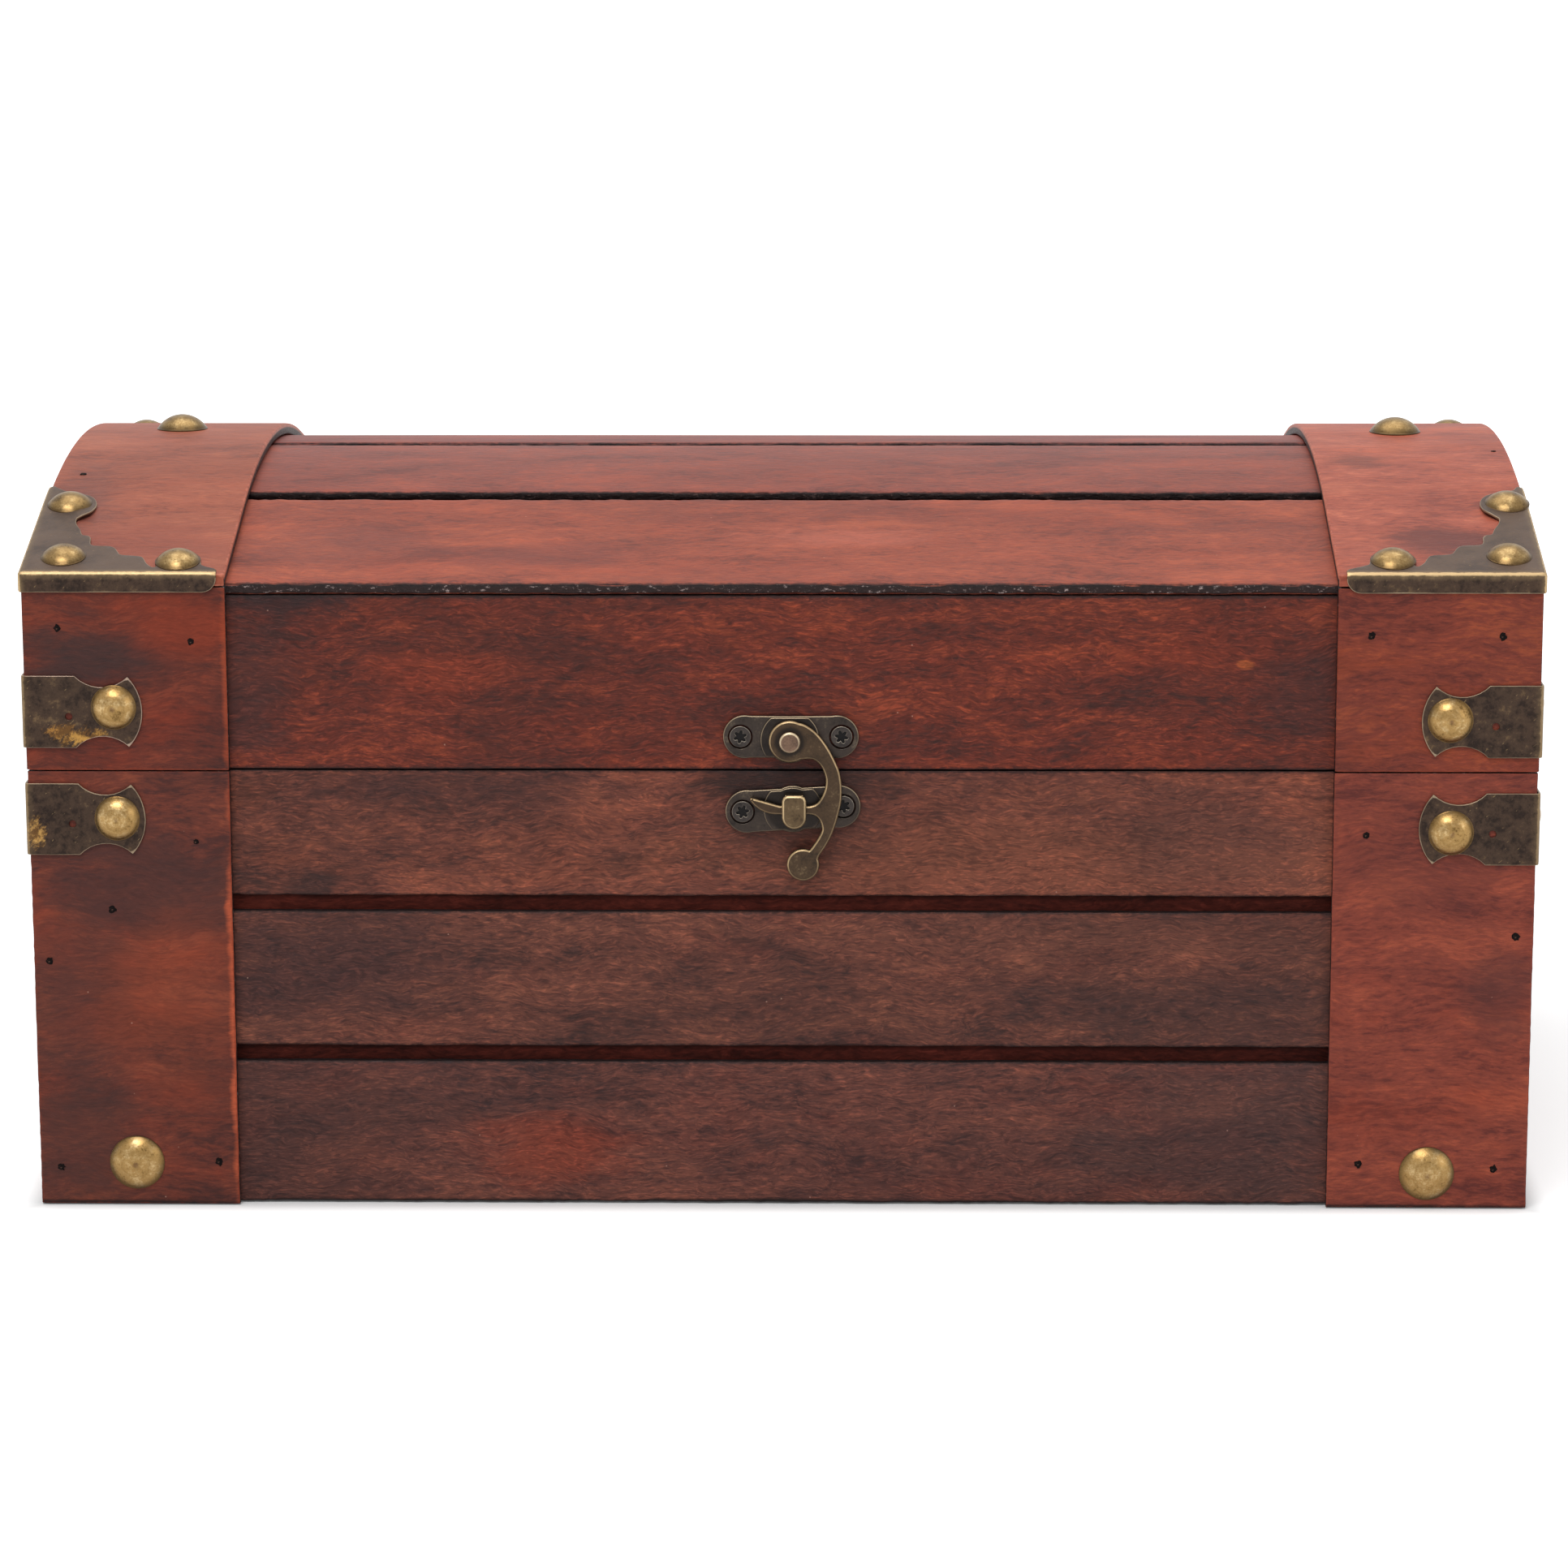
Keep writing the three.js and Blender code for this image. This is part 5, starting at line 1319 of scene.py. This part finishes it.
def joined(name, meshes, body, material, node, quiet=()):
    """quiet: (x, z, radius) of places where the bevels get no painted highlight."""
    work = bmesh.new()
    for mesh in meshes:
        work.from_mesh(mesh)
    result = as_mesh(name, work)
    if quiet:
        set_values(result, "calm", [
            any(math.dist((v.co.x / MM, v.co.z / MM), (x, z)) < r for x, z, r in quiet)
            for v in result.vertices])
    smooth(result, 40)
    new_object(name, result, body, material, node)


def lobed(boss_x, boss_z):
    """Outline of a latch plate: two round ends and a boss in the middle."""
    lobe = LATCH_WIDE / 2
    waist = lobe - 0.12
    lobe_x = LATCH_LONG / 2 - lobe
    a = math.asin(waist / lobe)
    top = math.asin(min(1, (waist - boss_z) / BOSS_R))
    low = math.asin(min(1, (waist + boss_z) / BOSS_R))
    pi = math.pi
    return (arc_points(lobe_x, 0, lobe, -pi + a, pi - a, 26)
            + arc_points(boss_x, boss_z, BOSS_R, top, pi - top, 10)
            + arc_points(-lobe_x, 0, lobe, a, 2 * pi - a, 26)
            + arc_points(boss_x, boss_z, BOSS_R, pi + low, 2 * pi - low, 10))


def clipped_step(outline, x, z, radius, inset):
    """The part of a disc that lies within the plate's outline."""
    result = []
    for px, pz in circle(x, z, radius, 72):
        t = 1.0
        while t > 0.3:
            q = (x + (px - x) * t, z + (pz - z) * t)
            if inside(q, outline) and outline_gap([q], outline)[0] >= inset:
                break
            t -= 0.01
        result.append((x + (px - x) * t, z + (pz - z) * t))
    return result


def lathe(name, profile, x, z, sides):
    """profile: (radius, distance towards the front), from the back outwards to the middle."""
    return ringed(name, [[(x + r * math.cos(a), -y, z + r * math.sin(a)) for a in turns(sides)]
                         for r, y in profile])


STAR_ARM = [(r * math.cos(a), r * math.sin(a))
            for a, r in ((-math.pi / 6, 0.72), (-0.2, 1.278), (0.0, 1.42), (0.2, 1.278))]
CROSS_ARM = [(0.28, -0.28), (0.989, -0.224), (1.15, 0.0), (0.989, 0.224)]


def recess(arm, arms, x, z, spin):
    """Outline of a screw's recess from the points of one arm."""
    return [p for k in range(arms) for p in turned(arm, spin + 2 * math.pi * k / arms, x, z)]


def latch_screw(name, x, z, spin, body, node):
    head = casting(name + "_head", [circle(x, z, SCREW_R, 40), recess(STAR_ARM, 6, x, z, spin)],
                   PLATE_FRONT - 0.55, PLATE_FRONT + 0.02, 0.18)
    joined(name, [head], body, cast["screw"], node)
    # the recess floor gets near-black painted shade
    profile = [(r, PLATE_FRONT - sunk) for r, sunk in ((1.9, 0.75), (1.9, 0.42), (0.9, 0.52), (0.05, 0.6))]
    floor = lathe(name + "_floor", profile, x, z, 24)
    new_object(name + "_recess", floor, body, cast["recess"], None)


# Both plates and the places of their screws: body, middle, tilt, boss, and spins of the recesses
screws = []
for key, body, (x, z), tilt, (boss_x, boss_z), spins in (
    ("latch", "lid", (LATCH_X, LATCH_Z), 0.0, (PIVOT_X, PIVOT_Z), (0.35, 0.85)),
    ("keeper", "base", (KEEP_X, KEEP_Z), TILT, (KEEP_X, KEEP_Z), (0.2, 0.65)),
):
    line = turned(lobed(boss_x - x, boss_z - z), tilt, x, z)
    holes = [(x + s * SCREW_REACH * math.cos(tilt), z + s * SCREW_REACH * math.sin(tilt)) for s in (-1, 1)]
    sheet = casting(f"{key}_sheet", [line] + [circle(*hole, SCREW_HOLE_R, 32) for hole in holes],
                    PLATE_BACK, PLATE_FRONT, 0.3)
    step = casting(f"{key}_step", [clipped_step(line, boss_x, boss_z, STEP_R, 0.25)],
                   PLATE_BACK + 0.2, STEP_FRONT, 0.25)
    joined(f"{key}_back_plate", [sheet, step], body, cast["latch_plate"], f"{key}_plate",
           [(*hole, 2.95) for hole in holes])
    screws += [(f"{body}_screw_{side}", *hole, spin, body, f"{key}_screw_{side}")
               for side, hole, spin in zip(("left", "right"), holes, spins)]

# The keeper's tongue: a neck under a nose with cut upper corners
nose_x, nose_top = PIVOT_X + 0.9, PIVOT_Z - 11.0
nose = [(nose_x + x, nose_top - z) for x, z in (
    (2.55, 1.2), (2.2, 0.4), (1.4, 0.0), (-1.4, 0.0), (-2.2, 0.4), (-2.55, 1.2))]
nose = merged([nose + arc_points(nose_x, nose_top - 4.65, 2.55, math.pi, 2 * math.pi, 22)])
neck = [(nose_x + x, nose_top - z) for x, z in ((-1.85, 1.6), (1.85, 1.6), (1.85, 0.05), (-1.85, 0.05))]
joined("keeper_tongue", [
    casting("keeper_neck", [neck], PLATE_BACK + 0.3, NOSE_FRONT - 0.5, 0.15),
    casting("keeper_nose", [nose], NOSE_BACK, NOSE_FRONT, 0.72, 6),
], "base", cast["keeper"], None)

# The hook: its outline round the pivot as shares of its length
HOOK_LENGTH, EYE_R, TAB_R = 26.0, 4.4, 3.4
OUTER = [(0.06, 0.155), (0.123, 0.138), (0.2, 0.085), (0.262, 0.015), (0.319, -0.073), (0.365, -0.165),
         (0.396, -0.242), (0.412, -0.331), (0.415, -0.4), (0.412, -0.485), (0.392, -0.581), (0.369, -0.665),
         (0.338, -0.754), (0.304, -0.823), (0.265, -0.888), (0.238, -0.927), (0.22, -0.98)]
TAIL = [(0.11, -0.92), (0.123, -0.908), (0.158, -0.881), (0.192, -0.835), (0.227, -0.781), (0.252, -0.727)]
NOTCH = [(0.252, -0.69), (0.24, -0.65), (0.22, -0.62), (0.19, -0.6), (0.15, -0.592)]
PRONG = [(-0.069, -0.594), (-0.154, -0.59), (-0.231, -0.562), (-0.285, -0.522), (-0.314, -0.488),
         (-0.317, -0.465), (-0.304, -0.458), (-0.204, -0.485), (-0.081, -0.52)]
INNER = [(0.15, -0.523), (0.185, -0.515), (0.223, -0.492), (0.258, -0.438), (0.281, -0.373), (0.285, -0.304),
         (0.265, -0.235), (0.235, -0.185), (0.192, -0.15), (0.15, -0.142), (0.1, -0.145), (0.04, -0.14)]
hook_line = [(PIVOT_X + x * HOOK_LENGTH, PIVOT_Z + z * HOOK_LENGTH)
             for line in (OUTER, TAIL + NOTCH, PRONG, INNER) for x, z in smooth_open(line, 4)]
eye = circle(PIVOT_X, PIVOT_Z, EYE_R, 72)
tab = circle(PIVOT_X + 0.104 * HOOK_LENGTH, PIVOT_Z - 1.005 * HOOK_LENGTH, TAB_R, 64)
hook = casting("hook_casting", [merged([hook_line, eye, tab])], HOOK_BACK, HOOK_FRONT, 0.6, 5)
new_object("hook_casting", hook, "hook", cast["hook"], "latch_hook")
rivet = lathe("rivet", [(1.2, PLATE_BACK)] + [(r, HOOK_FRONT + rise) for r, rise in (
    (1.2, 0.05), (2.15, 0.1), (2.25, 0.35), (2.22, 0.75), (2.05, 1.02), (1.75, 1.16), (1.3, 1.2),
    (0.6, 1.21), (0.05, 1.21))], PIVOT_X, PIVOT_Z, 48)
smooth(rivet, 50)
new_object("hook_rivet_head", rivet, "lid", cast["rivet"], "hook_rivet")
for screw in screws:
    latch_screw(*screw)

# Butt hinges at the back
HINGE_X, HINGE_Y, CLEAR = 70.0, 90.2, 2.4
LEAF_BACK, LEAF_FRONT, LEAF_HIGH, LEAF_HALF, LEAF_SCREW = 88.1, 89.1, 13.0, 12.0, 7.0
KNUCKLE_R, PIN_R, CAP_R, CAP_START, PIN_END = 2.1, 0.9, 1.6, 12.1, 12.9
KNUCKLES = {"base": ((-LEAF_HALF, -4.8), (4.8, LEAF_HALF)), "lid": ((-4.5, 4.5),)}


def back_casting(name, *sizes):
    """A casting that faces the back."""
    mesh = casting(name, *sizes)
    mesh.transform(Matrix.Scale(-1, 4, (0, 1, 0)))
    mesh.flip_normals()
    return mesh


def barrel(name, radius, x0, x1, soft=0.2):
    """A rod along the hinge's axis, with rounded ends."""
    ends = ((x0, 1.0), (x0 + soft * 0.3, 0.3), (x0 + soft, 0.0),
            (x1 - soft, 0.0), (x1 - soft * 0.3, 0.3), (x1, 1.0))
    return ringed(name, [[(x, HINGE_Y + (radius - soft * share) * math.cos(a),
                           SPLIT_Z + (radius - soft * share) * math.sin(a)) for a in turns(36)]
                         for x, share in ends])


def round_rect(x0, z0, x1, z1, r, count=6):
    half = math.pi / 2
    corners = ((x1 - r, z1 - r), (x0 + r, z1 - r), (x0 + r, z0 + r), (x1 - r, z0 + r))
    return [p for k, corner in enumerate(corners)
            for p in arc_points(*corner, r, k * half, (k + 1) * half, count)]


for side, sign in SIDES:
    centre = sign * HINGE_X
    for body, up in (("base", -1), ("lid", 1)):
        z0, z1 = sorted((SPLIT_Z + up * CLEAR, SPLIT_Z + up * (CLEAR + LEAF_HIGH)))
        z2, z3 = sorted((SPLIT_Z + up * 0.4, SPLIT_Z + up * (CLEAR + 1.0)))
        leaf = round_rect(centre - LEAF_HALF, z0, centre + LEAF_HALF, z1, 1.4)
        made = [back_casting("leaf", [leaf], LEAF_BACK, LEAF_FRONT, 0.2)]
        for x0, x1 in KNUCKLES[body]:
            tongue = round_rect(centre + x0, z2, centre + x1, z3, 0.15, 2)
            made.append(back_casting("tongue", [tongue], LEAF_BACK, LEAF_FRONT, 0.08))
            made.append(barrel("knuckle", KNUCKLE_R, centre + x0, centre + x1))
        joined(f"hinge_{body}_{side}", made, body, cast["hinge"], f"hinge_{body}_leaf_{side}")
        z = SPLIT_Z + up * (CLEAR + LEAF_HIGH * 0.62)
        for k, x in enumerate((centre - LEAF_SCREW, centre + LEAF_SCREW)):
            outlines = [circle(x, z, 1.85, 32), recess(CROSS_ARM, 4, x, z, 0.3 + k)]
            head = back_casting("head", outlines, LEAF_FRONT - 0.2, LEAF_FRONT + 0.5, 0.22)
            joined(f"hinge_screw_{body}_{side}_{k}", [head], body, cast["screw"], None)
    pin = [barrel("pin", PIN_R, centre - PIN_END, centre + PIN_END, 0.15),
           barrel("cap", CAP_R, centre - PIN_END, centre - CAP_START),
           barrel("cap", CAP_R, centre + CAP_START, centre + PIN_END)]
    joined(f"hinge_rod_{side}", pin, "base", cast["screw"], f"hinge_pin_{side}")


# Brads through the straps: small dark heads, slightly sunk or proud
def brad_mesh(name, radius, seed):
    wobble = 1 + 0.16 * np.random.default_rng(seed).standard_normal(14)
    rings = [[(radius * share * w * math.cos(a), radius * share * w * math.sin(a), z)
              for w, a in zip(wobble, turns(14))]
             for share, z in ((1.0, -0.05), (0.95, 0.05), (0.6, 0.1), (0.3, 0.06))]
    return domed(name, rings, 0.04, nail_iron, False)


# Body, place and radius; a brad without a height lies on the dome
BRADS = (
    ("lid", -149.6, -90, 123.6, 0.75), ("lid", -121.9, -90, 120.8, 0.7), ("base", -122.0, -90, 78.5, 0.6),
    ("base", -139.8, -90, 64.0, 0.8), ("base", -153.4, -90, 52.8, 0.75), ("base", -152.3, -90, 8.0, 0.8),
    ("base", -118.9, -90, 9.3, 0.8), ("lid", 121.7, -90, 122.2, 0.75), ("lid", 148.6, -90, 122.2, 0.75),
    ("base", 121.4, -90, 80.3, 0.7), ("base", 153.0, -90, 58.7, 0.9), ("base", 121.3, -90, 9.5, 0.8),
    ("base", 149.6, -90, 8.4, 0.85), ("lid", -151.2, -39.4, None, 0.7), ("lid", 153.9, -22.3, None, 0.6),
    ("base", -150.5, 90, 60.0, 0.75), ("base", -121.0, 90, 12.0, 0.75), ("base", 122.0, 90, 70.0, 0.75),
    ("base", 151.0, 90, 14.0, 0.75), ("lid", -122.0, 90, 121.0, 0.75), ("lid", 150.0, 90, 121.0, 0.75),
)
for k, (body, x, y, z, radius) in enumerate(BRADS):
    normal = Vector((0, 1 if y > 0 else -1, 0))
    if z is None:
        angle = dome_angle(y, DOME_R)
        y, z = dome_point(DOME_R, angle)
        normal = dome_normal(angle)
    name = f"brad_{k:02d}"
    new_object(name, brad_mesh(name, radius, 500 + k), body,
               matrix=standing((x, y, z), normal))

# Floor, brighter than it is lit except close round the chest, and world
floor_mesh = bpy.data.meshes.new("floor")
floor_mesh.from_pydata([(-9, -9, 0), (9, -9, 0), (9, 9, 0), (-9, 9, 0)], [], [(0, 1, 2, 3)])
floor = linked("floor", floor_mesh)
floor.location.z = -0.0003
t = material_tree("studio_floor")
speck = t.ramp(t.noise(t.coords, 30, 0, 2.0, 0.55), (0.0, 1.0), ((0.78, 0.78, 0.78, 1), (0.8, 0.8, 0.8, 1)))
plain = t.add("ShaderNodeBsdfDiffuse", {"Color": speck})
level = t.step(t.vector("LENGTH", t.coords), 0.3, 0.9, 0.5, 1.1)
apart = t.vector("SUBTRACT", t.vector("ABSOLUTE", t.coords), (0.1568, 0.09, 0.0))
apart = t.add("ShaderNodeSeparateXYZ", {0: apart}).outputs
level = t.times(level, t.step(t.math("MAXIMUM", apart[0], apart[1]), -0.002, 0.006, 0.1, 1.0))
glow = t.add("ShaderNodeEmission", {"Color": (1, 1, 1, 1), "Strength": t.times(t.shown(), level)})
both = t.add("ShaderNodeAddShader", {0: plain.outputs[0], 1: glow.outputs[0]})
t.links.new(both.outputs[0], t.out.inputs["Surface"])
floor_mesh.materials.append(t.owner)

world = bpy.data.worlds.new("studio")
bpy.context.scene.world = world
t = Tree(world, output="ShaderNodeOutputWorld")
light = t.step(t.shown(), 0.0, 1.0, 0.4, 1.0)
sky = t.add("ShaderNodeBackground", {"Color": (1, 1, 1, 1), "Strength": light})
t.links.new(sky.outputs[0], t.out.inputs["Surface"])


def lamp(name, place, target, size, power):
    data = bpy.data.lights.new(name, "AREA")
    data.shape = "RECTANGLE"
    data.size, data.size_y = size
    data.energy = power
    obj = linked(name, data)
    obj.location = place
    obj.rotation_euler = (Vector(target) - Vector(place)).to_track_quat("-Z", "Y").to_euler()


lamp("softbox_top", (0.0, 0.2, 1.35), (0, 0, 0.1), (1.3, 0.9), 6.5)
lamp("softbox_front", (-0.25, -0.9, 1.3), (0, 0, 0.07), (0.8, 0.5), 10.5)
lamp("softbox_side", (1.3, -0.8, 0.6), (0, 0, 0.07), (0.7, 0.7), 2.5)

# Camera at the photograph's viewing angle
yaw, pitch, roll = math.radians(-1.137), math.radians(11.846), math.radians(0.142)
ahead = Vector((math.sin(yaw) * math.cos(pitch), math.cos(yaw) * math.cos(pitch), -math.sin(pitch)))
level_right = Vector((math.cos(yaw), -math.sin(yaw), 0))
level_down = ahead.cross(level_right)
right = math.cos(roll) * level_right + math.sin(roll) * level_down
down = -math.sin(roll) * level_right + math.cos(roll) * level_down
camera_data = bpy.data.cameras.new("camera")
camera_data.sensor_fit = "HORIZONTAL"
camera_data.sensor_width = 36.0
camera_data.lens = 115.82
camera_data.clip_start = 0.05
camera_data.clip_end = 60.0
camera = linked("camera", camera_data)
basis = Matrix((right, -down, -ahead)).transposed().to_4x4()
camera.matrix_world = Matrix.Translation((0.021, -1.1141, 0.3058)) @ basis
bpy.context.scene.camera = camera
bpy.context.scene.view_settings.view_transform = "Standard"
